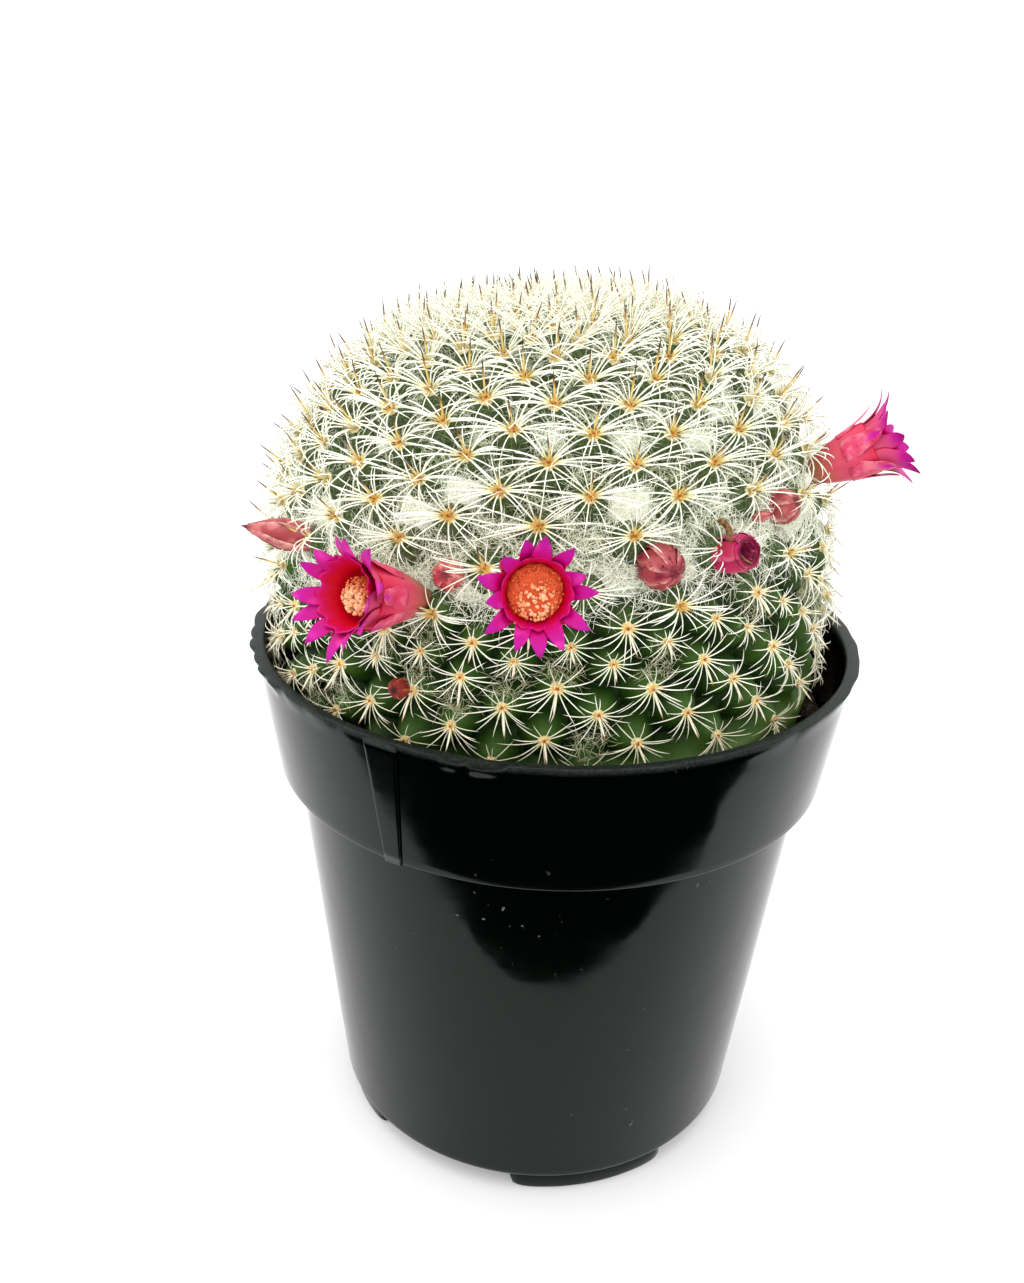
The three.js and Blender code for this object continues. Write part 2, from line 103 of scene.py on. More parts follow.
def closed(rings, first=None, last=None):
    """Points and outward triangles of closed bodies, from rings of shape (..., rings, columns, 3) that run
    anticlockwise seen from the last ring. Each cell between two rings and two columns is a pair of
    triangles, and fans to an end point close both ends. The end points are the middles of the first and the
    last ring unless they are given."""
    shape = rings.shape[:-3] + (3,)
    first = rings[..., 0, :, :].mean(-2) if first is None else np.broadcast_to(first, shape)
    last = rings[..., -1, :, :].mean(-2) if last is None else np.broadcast_to(last, shape)
    flat = rings.reshape(*rings.shape[:-3], -1, 3)
    points = np.concatenate([first[..., None, :], flat, last[..., None, :]], -2).reshape(-1, 3)
    rows, columns = rings.shape[-3:-1]
    column = np.arange(columns)
    turn = (column + 1) % columns
    start = 1 + columns * np.arange(rows - 1)[:, None]
    here, right = start + column, start + turn
    end = 1 + columns * (rows - 1)
    one = np.concatenate([
        np.stack([0 * column, 1 + turn, 1 + column], -1),
        np.stack([here, right, right + columns], -1).reshape(-1, 3),
        np.stack([here, right + columns, here + columns], -1).reshape(-1, 3),
        np.stack([end + column, end + turn, np.full(columns, end + columns)], -1),
    ])
    size = rows * columns + 2
    return points, (one + size * np.arange(len(points) // size)[:, None, None]).reshape(-1, 3)


def joined(*bodies):
    """Several bodies' points and faces as one."""
    counts = np.cumsum([0] + [len(points) for points, _ in bodies])
    faces = [faces + start for (_, faces), start in zip(bodies, counts)]
    return np.concatenate([points for points, _ in bodies]), np.concatenate(faces)


def mesh_object(name, points, faces, smooth=True, **values):
    """A mesh object of points in millimetres, with one float attribute for each array of values."""
    mesh = bpy.data.meshes.new(name)
    mesh.vertices.add(len(points))
    mesh.vertices.foreach_set("co", (points * MM + pot_axis).astype(np.float32).ravel())
    mesh.loops.add(faces.size)
    mesh.loops.foreach_set("vertex_index", faces.astype(np.int32).ravel())
    mesh.polygons.add(len(faces))
    mesh.polygons.foreach_set("loop_start", np.arange(len(faces), dtype=np.int32) * 3)
    mesh.update(calc_edges=True)
    for key, array in values.items():
        made = mesh.attributes.new(key, "FLOAT", "POINT")
        made.data.foreach_set("value", array.astype(np.float32).ravel())
    if smooth:
        mesh.shade_smooth()
    made = bpy.data.objects.new(name, mesh)
    bpy.context.scene.collection.objects.link(made)
    return made


def finish_piece(piece, material, slot, *nodes):
    """The piece gets its material, rides on the body, and is shown instead of the CAD nodes, if any. The
    slot is not used."""
    piece.data.materials.append(material)
    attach(piece, "root")
    if nodes:
        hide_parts(*nodes)


def rounded(corners, steps=4):
    """A profile of [height, radius, rounding] corners, with each corner replaced by the quadratic curve
    between the points that lie its rounding before and after it."""
    place, size = corners[:, :2], corners[1:-1, 2:]
    middle = place[1:-1]
    back, ahead = unit(place[:-2] - middle), unit(place[2:] - middle)
    t = np.linspace(0, 1, steps)[:, None, None]
    curve = (1 - t) ** 2 * (middle + size * back) + 2 * t * (1 - t) * middle + t**2 * (middle + size * ahead)
    return np.concatenate([place[:1], curve.transpose(1, 0, 2).reshape(-1, 2), place[-1:]])


def refined(profile, longest):
    """The same profile with points added evenly along it, so that no step is much over the longest."""
    reach = np.concatenate([[0], np.cumsum(np.linalg.norm(np.diff(profile, axis=0), axis=1))])
    extra = np.arange(0, reach[-1], longest)
    extra = extra[np.abs(extra[:, None] - reach).min(1) > longest / 3]
    stops = np.sort(np.concatenate([reach, extra]))
    return np.stack([np.interp(stops, reach, profile[:, k]) for k in (0, 1)], -1)


def bumps(azimuth, plan):
    """The largest of the plan's round bumps at each azimuth: size * sqrt(1 - (offset / half-width)**2), or
    0."""
    place, half, size = np.array(plan, float).T
    offset = (np.asarray(azimuth)[..., None] - place + 180) % 360 - 180
    return np.max(np.clip(1 - (offset / half) ** 2, 0, None) ** 0.5 * size, -1)


def node(material, kind, inputs=None, output=0, **settings):
    """Adds a shader node with its settings, and its inputs as values or links, and returns one output."""
    made = material.node_tree.nodes.new("ShaderNode" + kind)
    for key, value in settings.items():
        setattr(made, key, value)
    for key, value in (inputs or {}).items():
        if isinstance(value, bpy.types.NodeSocket):
            material.node_tree.links.new(value, made.inputs[key])
        else:
            made.inputs[key].default_value = value
    return made.outputs[output]


def ramp(material, factor, stops):
    """A colour ramp of (position, (red, green, blue)) stops."""
    made = material.node_tree.nodes.new("ShaderNodeValToRGB")
    material.node_tree.links.new(factor, made.inputs[0])
    bar = made.color_ramp.elements
    while len(bar) < len(stops):
        bar.new(0.5)
    for element, (position, colour) in zip(bar, stops):
        element.position = position
        element.color = (*colour, 1)
    return made.outputs[0]


def levels(material, factor, low, high, from_low=0.0, from_high=1.0):
    """The factor's range from_low to from_high, spread over low to high."""
    ends = {"Value": factor, "From Min": from_low, "From Max": from_high, "To Min": low, "To Max": high}
    return node(material, "MapRange", ends)


def combined(material, operation, first, second):
    """Two factors added, multiplied or compared, by the name of the operation."""
    return node(material, "Math", {0: first, 1: second}, operation=operation)


def mixed(material, factor, first, second, blend="MIX"):
    """Two colours mixed by a factor."""
    return node(material, "Mix", {0: factor, 6: first, 7: second}, 2, data_type="RGBA", blend_type=blend)


def object_place(material):
    """The place on the object, in metres."""
    return node(material, "TexCoord", output="Object")


def height_on(material):
    """The height above the floor, in metres."""
    return node(material, "SeparateXYZ", {0: object_place(material)}, "Z")


def noise(material, scale, detail=3.0, roughness=0.5):
    """Smooth noise over the object, with its scale in waves for each metre."""
    inputs = {"Vector": object_place(material), "Scale": scale, "Detail": detail, "Roughness": roughness}
    return node(material, "TexNoise", inputs, "Fac")


def grains(material, scale):
    """The distance to the nearest of scattered points, with its scale in points for each metre."""
    return node(material, "TexVoronoi", {"Vector": object_place(material), "Scale": scale}, "Distance")


def new_material(name, **uniform):
    """A material and its principled shader, with the uniform values set on the shader's own sockets."""
    made = bpy.data.materials.new(name)
    made.use_nodes = True
    shader = made.node_tree.nodes["Principled BSDF"]
    for key, value in uniform.items():
        shader.inputs[key.replace("_", " ")].default_value = value
    return made, shader


def feed(material, shader, colour, roughness=None, height=None, depth=0.0, strength=1.0, painted_glow=0.0):
    """Links a colour, a roughness and a bump, of a depth in metres, to the shader. The painted_glow is the
    share of the colour that the surface gives off as light of its own, painted light that stands in for
    light scattered through thin parts."""
    links = material.node_tree.links
    links.new(colour, shader.inputs["Base Color"])
    if painted_glow:
        links.new(colour, shader.inputs["Emission Color"])
        shader.inputs["Emission Strength"].default_value = painted_glow
    if roughness is not None:
        links.new(roughness, shader.inputs["Roughness"])
    if height is not None:
        bump = node(material, "Bump", {"Height": height, "Distance": depth, "Strength": strength}, "Normal")
        links.new(bump, shader.inputs["Normal"])


def moulded_shell():
    """The pot's wall: its profile turned about the axis, with the lip's outer edge pushed out by the burrs
    and fine waves, and with its melted stretch let down."""
    floor_top, step = FOOT_HEIGHT + FLOOR, COLLAR_FOOT + WALL
    corners = np.array([
        [FOOT_HEIGHT, POLE_RADIUS, 0], [FOOT_HEIGHT, BODY_FOOT_RADIUS - BODY_CHAMFER, 0.5],
        [FOOT_HEIGHT + BODY_CHAMFER, BODY_FOOT_RADIUS, 0.5], [COLLAR_FOOT, BODY_TOP_RADIUS, 0.5],
        [COLLAR_FOOT, COLLAR_FOOT_RADIUS, 0.3], [POT_HEIGHT, RIM_RADIUS, 0.35],
        [POT_HEIGHT, RIM_RADIUS - LIP, 0.5], [step, COLLAR_FOOT_RADIUS - WALL, 0.5],
        [step, BODY_TOP_RADIUS - WALL, 0.5], [floor_top, BODY_FOOT_RADIUS - WALL, 0.8],
        [floor_top, POLE_RADIUS, 0],
    ])
    profile = refined(rounded(corners), 1.6)
    height, radius = profile[:, :1], profile[:, 1:]
    azimuth = circle(POT_COLUMNS)
    reach = height - POT_HEIGHT + WORN_DEPTH
    edge = np.where(radius > RIM_RADIUS - WORN_SHARE * LIP, np.clip(reach, 0, 1), 0)
    waves = sum(size * np.sin(np.radians(azimuth * count + phase)) for size, count, phase in LIP_WAVES)
    radius = radius + edge * (bumps(azimuth, LIP_BURRS) + waves)
    on_lip = np.clip(reach / WORN_DEPTH, 0, 1) * np.clip((radius - RIM_RADIUS + LIP) / LIP, 0, 1)
    sag = LIP_SAG * np.sin(np.radians(azimuth * 5 + 30)) ** 2
    height = height - on_lip * (bumps(azimuth, [LIP_MELT]) + sag)
    return closed(about_axis(radius, azimuth - 90, height), [0, 0, FOOT_HEIGHT], [0, 0, floor_top])


def section(width, depth, power, columns):
    """A rounded rectangle, as a ring whose sine and cosine are raised to a low power."""
    angle = np.radians(circle(columns))
    across, out = (np.sign(s) * np.abs(s) ** power for s in (np.cos(angle), np.sin(angle)))
    return across * width / 2, out * depth / 2


def strip(azimuth):
    """A flat plate on the collar's slope: rounded rectangles carried from its lower edge up to the lip,
    which widen evenly on the way."""
    reach = np.linspace(0, 1, 14)[:, None]
    radius = COLLAR_FOOT_RADIUS + (RIM_RADIUS - COLLAR_FOOT_RADIUS) * reach
    bottom, top = COLLAR_FOOT - STRIP_OVERHANG, POT_HEIGHT - STRIP_UNDER_LIP
    height = bottom + (top - bottom) * reach
    across, out = section(1, STRIP_THICKNESS, 0.22, 24)
    width = STRIP_WIDTHS[0] + (STRIP_WIDTHS[1] - STRIP_WIDTHS[0]) * reach
    forward, side = heading(azimuth), heading(azimuth + 90)
    centre = (radius + STRIP_PROUD - STRIP_THICKNESS / 2)[..., None] * forward + height[..., None] * UP
    return closed(centre + (width * across)[..., None] * side - out[:, None] * forward)


def foot(azimuth):
    """A foot: a rounded rectangle carried round an arc, drawn in towards both ends like a thumb."""
    share = np.linspace(-1, 1, 33)[:, None]
    swell = np.sqrt(1 - share**14)
    tall = FOOT_HEIGHT + FOOT_IN_BODY
    across, up = section(FOOT_RADII[1] - FOOT_RADII[0], tall, 0.3, 16)
    height = np.maximum(tall / 2 + up * (0.4 + 0.6 * swell), 0)
    angle = azimuth + share * FOOT_ARC / 2 - 90
    return closed(about_axis(sum(FOOT_RADII) / 2 - across * swell, angle, height))


pot = mesh_object("pot_moulding", *joined(
    moulded_shell(), *[strip(azimuth) for azimuth in STRIP_AZIMUTHS],
    *[foot(azimuth) for azimuth in FOOT_AZIMUTHS],
))

plastic, shader = new_material(
    "black polypropylene", IOR=1.46, Specular_IOR_Level=0.25, Specular_Tint=(0.8, 1.0, 0.89, 1)
)
lip_share = levels(plastic, height_on(plastic), 0, 1, (POT_HEIGHT - 1.3) * MM, (POT_HEIGHT - 0.5) * MM)
worn = ramp(plastic, noise(plastic, 2200, 2, 0.6), [
    (0.35, (0.003, 0.0045, 0.004)), (0.75, (0.024, 0.028, 0.026)),
])
specks = levels(plastic, noise(plastic, 900, 1), 0, 1, 0.74, 0.79)
dusty = levels(plastic, noise(plastic, 30), 0.0, 0.35, 0.52, 0.7)
colour = mixed(plastic, lip_share, (0.0, 0.0008, 0.0003, 1), worn)
colour = mixed(plastic, combined(plastic, "MULTIPLY", specks, dusty), colour, (0.3, 0.3, 0.28, 1))
polish = levels(plastic, noise(plastic, 55, 4, 0.6), 0.07, 0.17, 0.35, 0.75)
matt = mixed(plastic, lip_share, polish, (0.5, 0.5, 0.5, 1))
feed(plastic, shader, colour, matt, noise(plastic, 130, 2, 0.4), 0.0002, 0.25)
finish_piece(pot, plastic, "pot_plastic", "pot")

# ---- Potting mix ----
# Dark peat with grit fills the pot to 13 mm under the lip and holds the root neck of the stem in a hollow.

SOIL_TOP, SOIL_TOP_RADIUS = 82.5, 45.6
SOIL_GAP = 0.3  # over the pot's floor and its step
SOIL_MARGIN = 1.7  # from the pot's outside
HOLLOW = [[77.5, 44.5, 1], [68.5, 40, 1], [60.5, 27.5, 1], [54.5, 9.5, 1]]
HOLLOW_FLOOR = 48.6
HEAVE, HEAVE_DEPTH = 0.5, 1.2
STEM_X = -1.6
SOIL_COLUMNS = 180


def heap():
    """The mix: a profile turned about the pot's axis, with its top heaved by waves of several lengths, and
    with a hollow that runs down round the stem's underside."""
    floor, step = FOOT_HEIGHT + FLOOR + SOIL_GAP, COLLAR_FOOT + WALL + SOIL_GAP
    corners = np.array([
        [floor, POLE_RADIUS, 0], [floor, BODY_FOOT_RADIUS - SOIL_MARGIN, 0.5],
        [step, BODY_TOP_RADIUS - SOIL_MARGIN, 0.3], [step, COLLAR_FOOT_RADIUS - SOIL_MARGIN, 0.3],
        [SOIL_TOP - 0.5, COLLAR_FOOT_RADIUS - 0.5, 0.5], [SOIL_TOP, SOIL_TOP_RADIUS, 1], *HOLLOW,
        [HOLLOW_FLOOR, POLE_RADIUS, 0],
    ])
    profile = refined(rounded(corners), 1.5)
    height, radius = profile[:, :1], profile[:, 1:]
    azimuth = circle(SOIL_COLUMNS)
    turn = np.radians(azimuth)
    on_top = np.clip(height - SOIL_TOP + HEAVE_DEPTH, 0, 1)
    wave = np.sin(23 * turn + radius) * np.sin(9 * turn - 0.7 * radius)
    wave = wave + 0.6 * np.sin(61 * turn + 2.1 * radius)
    points = about_axis(radius, azimuth - 90, height + HEAVE * on_top * wave)
    return closed(points, [0, 0, floor], [STEM_X, 0, HOLLOW_FLOOR])


soil = mesh_object("potting_mix", *heap())
peat, shader = new_material("peat and grit", Specular_IOR_Level=0.2)
crumbs = grains(peat, 700)
colour = ramp(peat, noise(peat, 500, 4, 0.7), [
    (0.3, (0.012, 0.008, 0.006)), (0.55, (0.04, 0.026, 0.018)), (0.72, (0.16, 0.13, 0.1)),
])
feed(peat, shader, colour, levels(peat, crumbs, 0.75, 1.0), crumbs, 0.0008)
finish_piece(soil, peat, "potting_mix", "soil")

# ---- Stem ----
# A flattened globe that grew in one piece. Cone-shaped tubercles stand on it in two sets of spirals, close
# together at the crown, with a wide step at the ring of flowers and a belt of small ones below it.

# The outline through the tubercles' tips: its middle's height, its level and upright reach, its power, and
# the share by which directions from the middle are flattened so that they spread evenly.
STEM_Z, STEM_RADIUS, STEM_RISE, STEM_POWER, EVENNESS = 95.9, 48.0, 55.6, 2.6, 0.86
STEM_CENTRE = np.array([STEM_X, 0, STEM_Z])
WAIST_TOP, WAIST_BOTTOM, WAIST_SHARE = 112.0, 100.0, 0.02
TILT_SLOPE, TILT_BOTTOM, TILT_TOP = 0.04, 110.0, 148.0
LEAN_LEFT, LEAN_BACK = 5.4, 2.6
PAIR_TURN, FIRST_TURN = -68.7, 156.0
# Pairs of tubercles counted from the crown, and the angle from the crown that each has reached.
GROWN_PAIRS = [0, 10, 24, 48, 81, 114, 129, 156, 176, 202]
GROWN_ANGLES = [1.5, 9.8, 17.6, 28, 42.5, 56.4, 69.6, 76.2, 84.8, 98]
UNDERSIDE = np.array([[51, 5], [55, 9], [61, 27], [69, 39.5], [77, 44]])  # heights and radii
ROOT_END = 49.2
SKIN_COLUMNS, SIDE_ROWS, CROWN_ROWS = 420, 170, 44
# Angles from the crown where the skin's rows start, grow dense and end, and over which its valleys fade out.
SKIN_FOOT, SKIN_CROWN, SKIN_TOP, VALLEY_FADE = 100, 24, 0.7, 4
VALLEY_SHARE, VALLEY_POWER = 0.94, 1.8
YOUNG_SKIN = (113.0, 122.0)  # heights between which the hazy bloom of young skin sets in

growth = unit(np.array([-np.sin(np.radians(LEAN_LEFT)), np.sin(np.radians(LEAN_BACK)), 1]))


def turned_to(axis):
    """The matrix of the shortest turn that takes +Z to the axis."""
    x, y, z = axis
    skew = np.array([[0, 0, x], [0, 0, y], [-x, -y, 0]])
    return np.eye(3) + skew + skew @ skew / (1 + z)


def eased(value, low, high):
    """A smooth step from 0 at low to 1 at high: t * t * (3 - 2 t)."""
    t = np.clip((value - low) / (high - low), 0, 1)
    return t * t * (3 - 2 * t)


def waist(height):
    """The share of the full radius at a height, which falls smoothly below the ring of flowers."""
    return 1 - WAIST_SHARE * eased(-height, -WAIST_TOP, -WAIST_BOTTOM)


def tilted(points):
    """Points lifted by the slope times their x. The lift sets in smoothly over a range of heights, because
    the crown grew a little higher towards +X."""
    lift = TILT_SLOPE * points[..., 0] * eased(points[..., 2], TILT_BOTTOM, TILT_TOP)
    return points + lift[..., None] * UP


def stem_surface(angle, turn):
    """Points on the outline through the tubercles' tips. The direction lies at an angle from the growing
    axis and at a turn round it. It is stretched until (level / radius)**power + (upright / rise)**power =
    1."""
    polar, turn = np.radians(angle), np.radians(turn)
    parts = np.sin(polar) * np.cos(turn), np.sin(polar) * np.sin(turn), np.cos(polar)
    arm = np.stack(np.broadcast_arrays(*parts), -1) @ turned_to(growth).T
    arm = arm * [STEM_RADIUS, STEM_RADIUS, STEM_RISE * EVENNESS]
    level = np.hypot(arm[..., 0], arm[..., 1]) / STEM_RADIUS
    upright = np.abs(arm[..., 2]) / STEM_RISE
    arm = arm / ((level**STEM_POWER + upright**STEM_POWER) ** (1 / STEM_POWER))[..., None]
    narrow = waist(arm[..., 2] + STEM_Z)
    return tilted(arm * np.stack([narrow, narrow, np.ones_like(narrow)], -1) + STEM_CENTRE)


def surface_normals(points):
    """Outward normals of that outline, from the slope of its equation."""
    arm = points - STEM_CENTRE
    level = np.maximum(np.hypot(arm[..., 0], arm[..., 1]), 1e-6)
    across = (level / STEM_RADIUS) ** (STEM_POWER - 1) / STEM_RADIUS
    up = np.sign(arm[..., 2]) * (np.abs(arm[..., 2]) / STEM_RISE) ** (STEM_POWER - 1) / STEM_RISE
    return unit(np.stack([arm[..., 0] / level * across, arm[..., 1] / level * across, up], -1))


# The areoles at the tubercles' tips, and for each the directions out of the stem, up along it and to its
# side.
pair = np.repeat(np.arange(GROWN_PAIRS[-1] + 1), 2)
pair_turn = FIRST_TURN + PAIR_TURN * pair + 180 * (np.arange(len(pair)) % 2)
areoles = stem_surface(np.interp(pair, GROWN_PAIRS, GROWN_ANGLES), pair_turn)
areole_out = surface_normals(areoles)
areole_up = unit(growth - (areole_out @ growth)[:, None] * areole_out)
areole_side = np.cross(areole_up, areole_out)


def two_nearest(points):
    """Distances from each point to the nearest and the second nearest tubercle's tip."""
    flat = points.reshape(-1, 3).astype(np.float32)
    tips = areoles.astype(np.float32)
    squared = (flat**2).sum(1)[:, None] + (tips**2).sum(1) - 2 * flat @ tips.T
    nearest = np.sqrt(np.clip(np.partition(squared, 1, axis=1)[:, :2], 0, None))
    return nearest[:, 0].reshape(points.shape[:-1]), nearest[:, 1].reshape(points.shape[:-1])


def valley_depth(outline):
    """How deep the skin lies under places on the outline. With near and next as the distances to the nearest
    two tips, the share of the way to the valley is 2 near / (near + next), and the depth is VALLEY_SHARE *
    (near + next) / 2 * share**VALLEY_POWER."""
    near, following = two_nearest(outline)
    share = 2 * near / (near + following)
    return VALLEY_SHARE * (near + following) / 2 * share**VALLEY_POWER, share


def ringed_values(values, shape, first, last):
    """One value for each point of closed(), from values spread over rings of shape (..., rings, columns),
    and from those of the end points."""
    flat = np.broadcast_to(values, shape).reshape(*shape[:-2], -1)
    ends = [np.full(flat.shape[:-1] + (1,), end) for end in (first, last)]
    return np.concatenate([ends[0], flat, ends[1]], -1).ravel()


def skin():
    """The skin: the outline through the tips, sunk between them, and the smooth underside with the root
    neck. Also returns each point's share of the way from a tip to the valley."""
    sides = np.linspace(SKIN_FOOT, SKIN_CROWN, SIDE_ROWS)
    angle = np.concatenate([sides, np.linspace(SKIN_CROWN - 0.4, SKIN_TOP, CROWN_ROWS)])[:, None]
    turn = circle(SKIN_COLUMNS)
    outline = stem_surface(angle, turn)
    depth, share = valley_depth(outline)
    fade = np.clip((SKIN_FOOT - angle) / VALLEY_FADE, 0, 1)
    upper = outline + unit(STEM_CENTRE - outline) * (fade * depth)[..., None]
    under = about_axis(UNDERSIDE[:, 1:], turn, UNDERSIDE[:, :1]) + [STEM_X, 0, 0]
    points, faces = closed(np.concatenate([under, upper]), [STEM_X, 0, ROOT_END])
    hollow = np.concatenate([np.ones(under.shape[:2]), share * fade])
    return points, faces, ringed_values(hollow, hollow.shape, 1, 1)


def crossing(material, scale, thickness):
    """A tangle of fine crossing fibres: 1 on the borders between the cells of two patterns, which are bent
    by noise, and 0 inside the cells. The thickness is the fibres' share of a cell, and their core is a fifth
    of it. The second pattern is 1.8 times as fine as the first."""
    place = object_place(material)
    bend = node(material, "TexNoise", {"Vector": place, "Scale": 0.7 * scale, "Detail": 1.0}, "Color")
    bent = node(material, "VectorMath", {0: bend, 1: (0.7 / scale,) * 3, 2: place}, operation="MULTIPLY_ADD")
    layers = []
    for size in (scale, 1.8 * scale):
        inputs = {"Vector": bent, "Scale": size}
        border = node(material, "TexVoronoi", inputs, "Distance", feature="DISTANCE_TO_EDGE")
        layers.append(levels(material, border, 1.0, 0.0, 0.2 * thickness, thickness))
    return combined(material, "MAXIMUM", *layers)


def carried(material, name):
    """A value that the mesh carries at each point."""
    return node(material, "Attribute", output="Fac", attribute_name=name)


points, faces, hollow = skin()
stem = mesh_object("stem_skin", points, faces, hollow=hollow)

flesh, shader = new_material("cactus skin", Specular_IOR_Level=0.14)
patches = noise(flesh, 90, 3, 0.6)
# The skin is painted from light green at the tubercles' tips, a painted highlight, to near black in the
# valleys and on the underside, painted shade; noise patches vary the tone at random.
valley_shade_and_patches = combined(flesh, "ADD", carried(flesh, "hollow"), levels(flesh, patches, -0.15, 0.15))
colour = ramp(flesh, valley_shade_and_patches, [
    (0.0, (0.12, 0.19, 0.05)), (0.22, (0.05, 0.11, 0.018)), (0.55, (0.026, 0.068, 0.006)),
    (0.85, (0.009, 0.03, 0.002)), (1.0, (0.003, 0.012, 0.0005)),
])
dots = levels(flesh, grains(flesh, 1900), 0.5, 0.0, 0.08, 0.2)
colour = mixed(flesh, dots, colour, (0.1, 0.17, 0.05, 1))
young = levels(flesh, height_on(flesh), 0.0, 1.0, YOUNG_SKIN[0] * MM, YOUNG_SKIN[1] * MM)
colour = mixed(flesh, levels(flesh, young, 0, 0.5), colour, (0.04, 0.055, 0.016, 1))
down = combined(flesh, "MULTIPLY", crossing(flesh, 900, 0.045), levels(flesh, young, 0, 0.16))
colour = mixed(flesh, down, colour, (0.72, 0.74, 0.55, 1))
feed(flesh, shader, colour, levels(flesh, patches, 0.38, 0.6), noise(flesh, 1500, 2, 0.6), 0.00012, 0.6)
finish_piece(stem, flesh, "cactus_flesh", "cactus_stem")

# ---- Radial spines ----
# Fifteen to twenty-five needles spread from each areole. They are amber at the root and cream white beyond
# it, stand out at first and curve back. Most lie to the sides, where they are longest. Old areoles have the
# fewest.

# For each age of areole: the number of spines, their lengths to the sides, up and down, the lift in degrees,
# the curve back, the crowding towards the sides, the droop away from the top, and the width.
CROWN_FAN = {
    "count": 25, "side": 10.2, "up": 7.6, "down": 7.4, "lift": 52, "bend": 0.38,
    "crowding": 0.25, "droop": 0.0, "width": 0.18,
}
YOUNG_FAN = {
    "count": 20, "side": 11.8, "up": 6.4, "down": 7.6, "lift": 46, "bend": 0.56,
    "crowding": 0.36, "droop": 0.06, "width": 0.25,
}
OLD_FAN = {
    "count": 15, "side": 7.8, "up": 3.4, "down": 5.8, "lift": 32, "bend": 0.42,
    "crowding": 0.12, "droop": 0.2, "width": 0.2,
}
LIFT_SPREAD = 17
SPINE_FOOT_OUT, SPINE_FOOT_ASIDE = 0.15, 0.4
LAST_CROWN_PAIR, LAST_UPPER_PAIR = 48, 129
# Young areoles at the crown are small, and so are those of the belt that grew in the resting season.
SCALE_PAIRS = [0, 14, 34, 112, 124, 138, 146, 157, 165, 176]
SCALES = [0.75, 0.9, 1, 1, 0.8, 0.95, 0.55, 0.6, 1, 0.84]
RIM_SHADE_HEIGHTS = (90, 106)  # heights over which painted shade near the rim, a tan tint, fades out

areole_scale = np.interp(pair, SCALE_PAIRS, SCALES)
above = pair <= LAST_UPPER_PAIR


def crosswise(directions):
    """The world axis that each direction leans on least."""
    return np.eye(3)[np.abs(directions).argmin(-1)]


def strands(starts, directions, bends, lengths, widths, rings, curl=0.0, sides=3, bulb=0.0):
    """Closed curved strands. At share t of its length, a strand's middle is at start + length * (t *
    direction + t**2 * bend), moved along a corkscrew by curl * length, and its width is the full width times
    1 - t**4, with a bulb at its foot. Also returns the share t and the strand's number at each point."""
    t = np.linspace(0, 1, rings + 1)[:, None]
    reach = lengths[:, None, None]
    middle = starts[:, None] + reach * (t * directions[:, None] + t**2 * bends[:, None])
    run = unit(directions[:, None] + 2 * t * bends[:, None])
    side = unit(np.cross(run, crosswise(directions)[:, None]))
    lift = np.cross(run, side)
    first = 2.4 * np.arange(len(starts))[:, None, None]
    wave = 7.5 * t + first
    middle = middle + curl * reach * side * (np.sin(wave) - np.sin(first))
    middle = middle + curl * reach * lift * (np.cos(wave) - np.cos(first))
    angle = np.radians(circle(sides))[:, None]
    radius = (widths[:, None, None] / 2 * (1 - t**4) * (1 + bulb * np.clip(1 - 6 * t, 0, 1)))[:, :-1, None]
    around = np.cos(angle) * side[:, :-1, None] + np.sin(angle) * lift[:, :-1, None]
    points, faces = closed(middle[:, :-1, None] + radius * around, middle[:, 0], middle[:, -1])
    share = ringed_values(t[:-1], (len(starts), rings, sides), 0, 1)
    return points, faces, share, np.repeat(np.arange(len(starts)), rings * sides + 2)


def spine_fan(which, fan, rng):
    """One fan of radial spines for each chosen areole. At an angle round the areole from its upper side, the
    length is an even blend of the side length with the upper or the lower one. Every angle, lift, bend,
    length and width is a little off its rule."""
    count = fan["count"]
    chosen = np.repeat(np.flatnonzero(which), count)
    place = np.tile(np.arange(count), which.sum())
    around = np.radians((place + 0.5 + rng.uniform(-0.26, 0.26, len(chosen))) * 360 / count)
    around = around + fan["crowding"] * np.sin(2 * around) + fan["droop"] * np.sin(around)
    sideways = np.sin(around) ** 2
    upright = np.where(np.cos(around) > 0, fan["up"], fan["down"])
    length = (fan["side"] * sideways + upright * (1 - sideways)) * areole_scale[chosen]
    tangent = np.cos(around)[:, None] * areole_up[chosen] + np.sin(around)[:, None] * areole_side[chosen]
    lift = np.radians(fan["lift"] + rng.uniform(-LIFT_SPREAD, LIFT_SPREAD, len(chosen)))[:, None]
    direction = np.cos(lift) * tangent + np.sin(lift) * areole_out[chosen]
    bend = -fan["bend"] * areole_out[chosen] * rng.uniform(0.8, 1.18, (len(chosen), 1))
    bend = bend + rng.normal(0, 0.06, bend.shape)
    start = areoles[chosen] + SPINE_FOOT_OUT * areole_out[chosen] + SPINE_FOOT_ASIDE * tangent
    width = fan["width"] * (0.5 + 0.3 * areole_scale[chosen] + 0.2 * sideways)
    length = length * rng.uniform(0.88, 1.1, len(chosen))
    width = width * rng.uniform(0.82, 1.15, len(chosen))
    return strands(start, direction, bend, length, width, 6, sides=4, bulb=0.8)


needle, shader = new_material("cream spine", Roughness=0.4, Specular_IOR_Level=0.35)
colour = ramp(needle, carried(needle, "along"), [
    (0.0, (0.66, 0.36, 0.07)), (0.05, (0.86, 0.66, 0.24)), (0.11, (0.94, 0.88, 0.55)),
    (0.2, (0.94, 0.95, 0.83)), (0.9, (0.93, 0.95, 0.85)),
])
shade = levels(needle, carried(needle, "tone"), 0.0, 0.3)
colour = mixed(needle, shade, colour, (0.86, 0.84, 0.6, 1), "MULTIPLY")
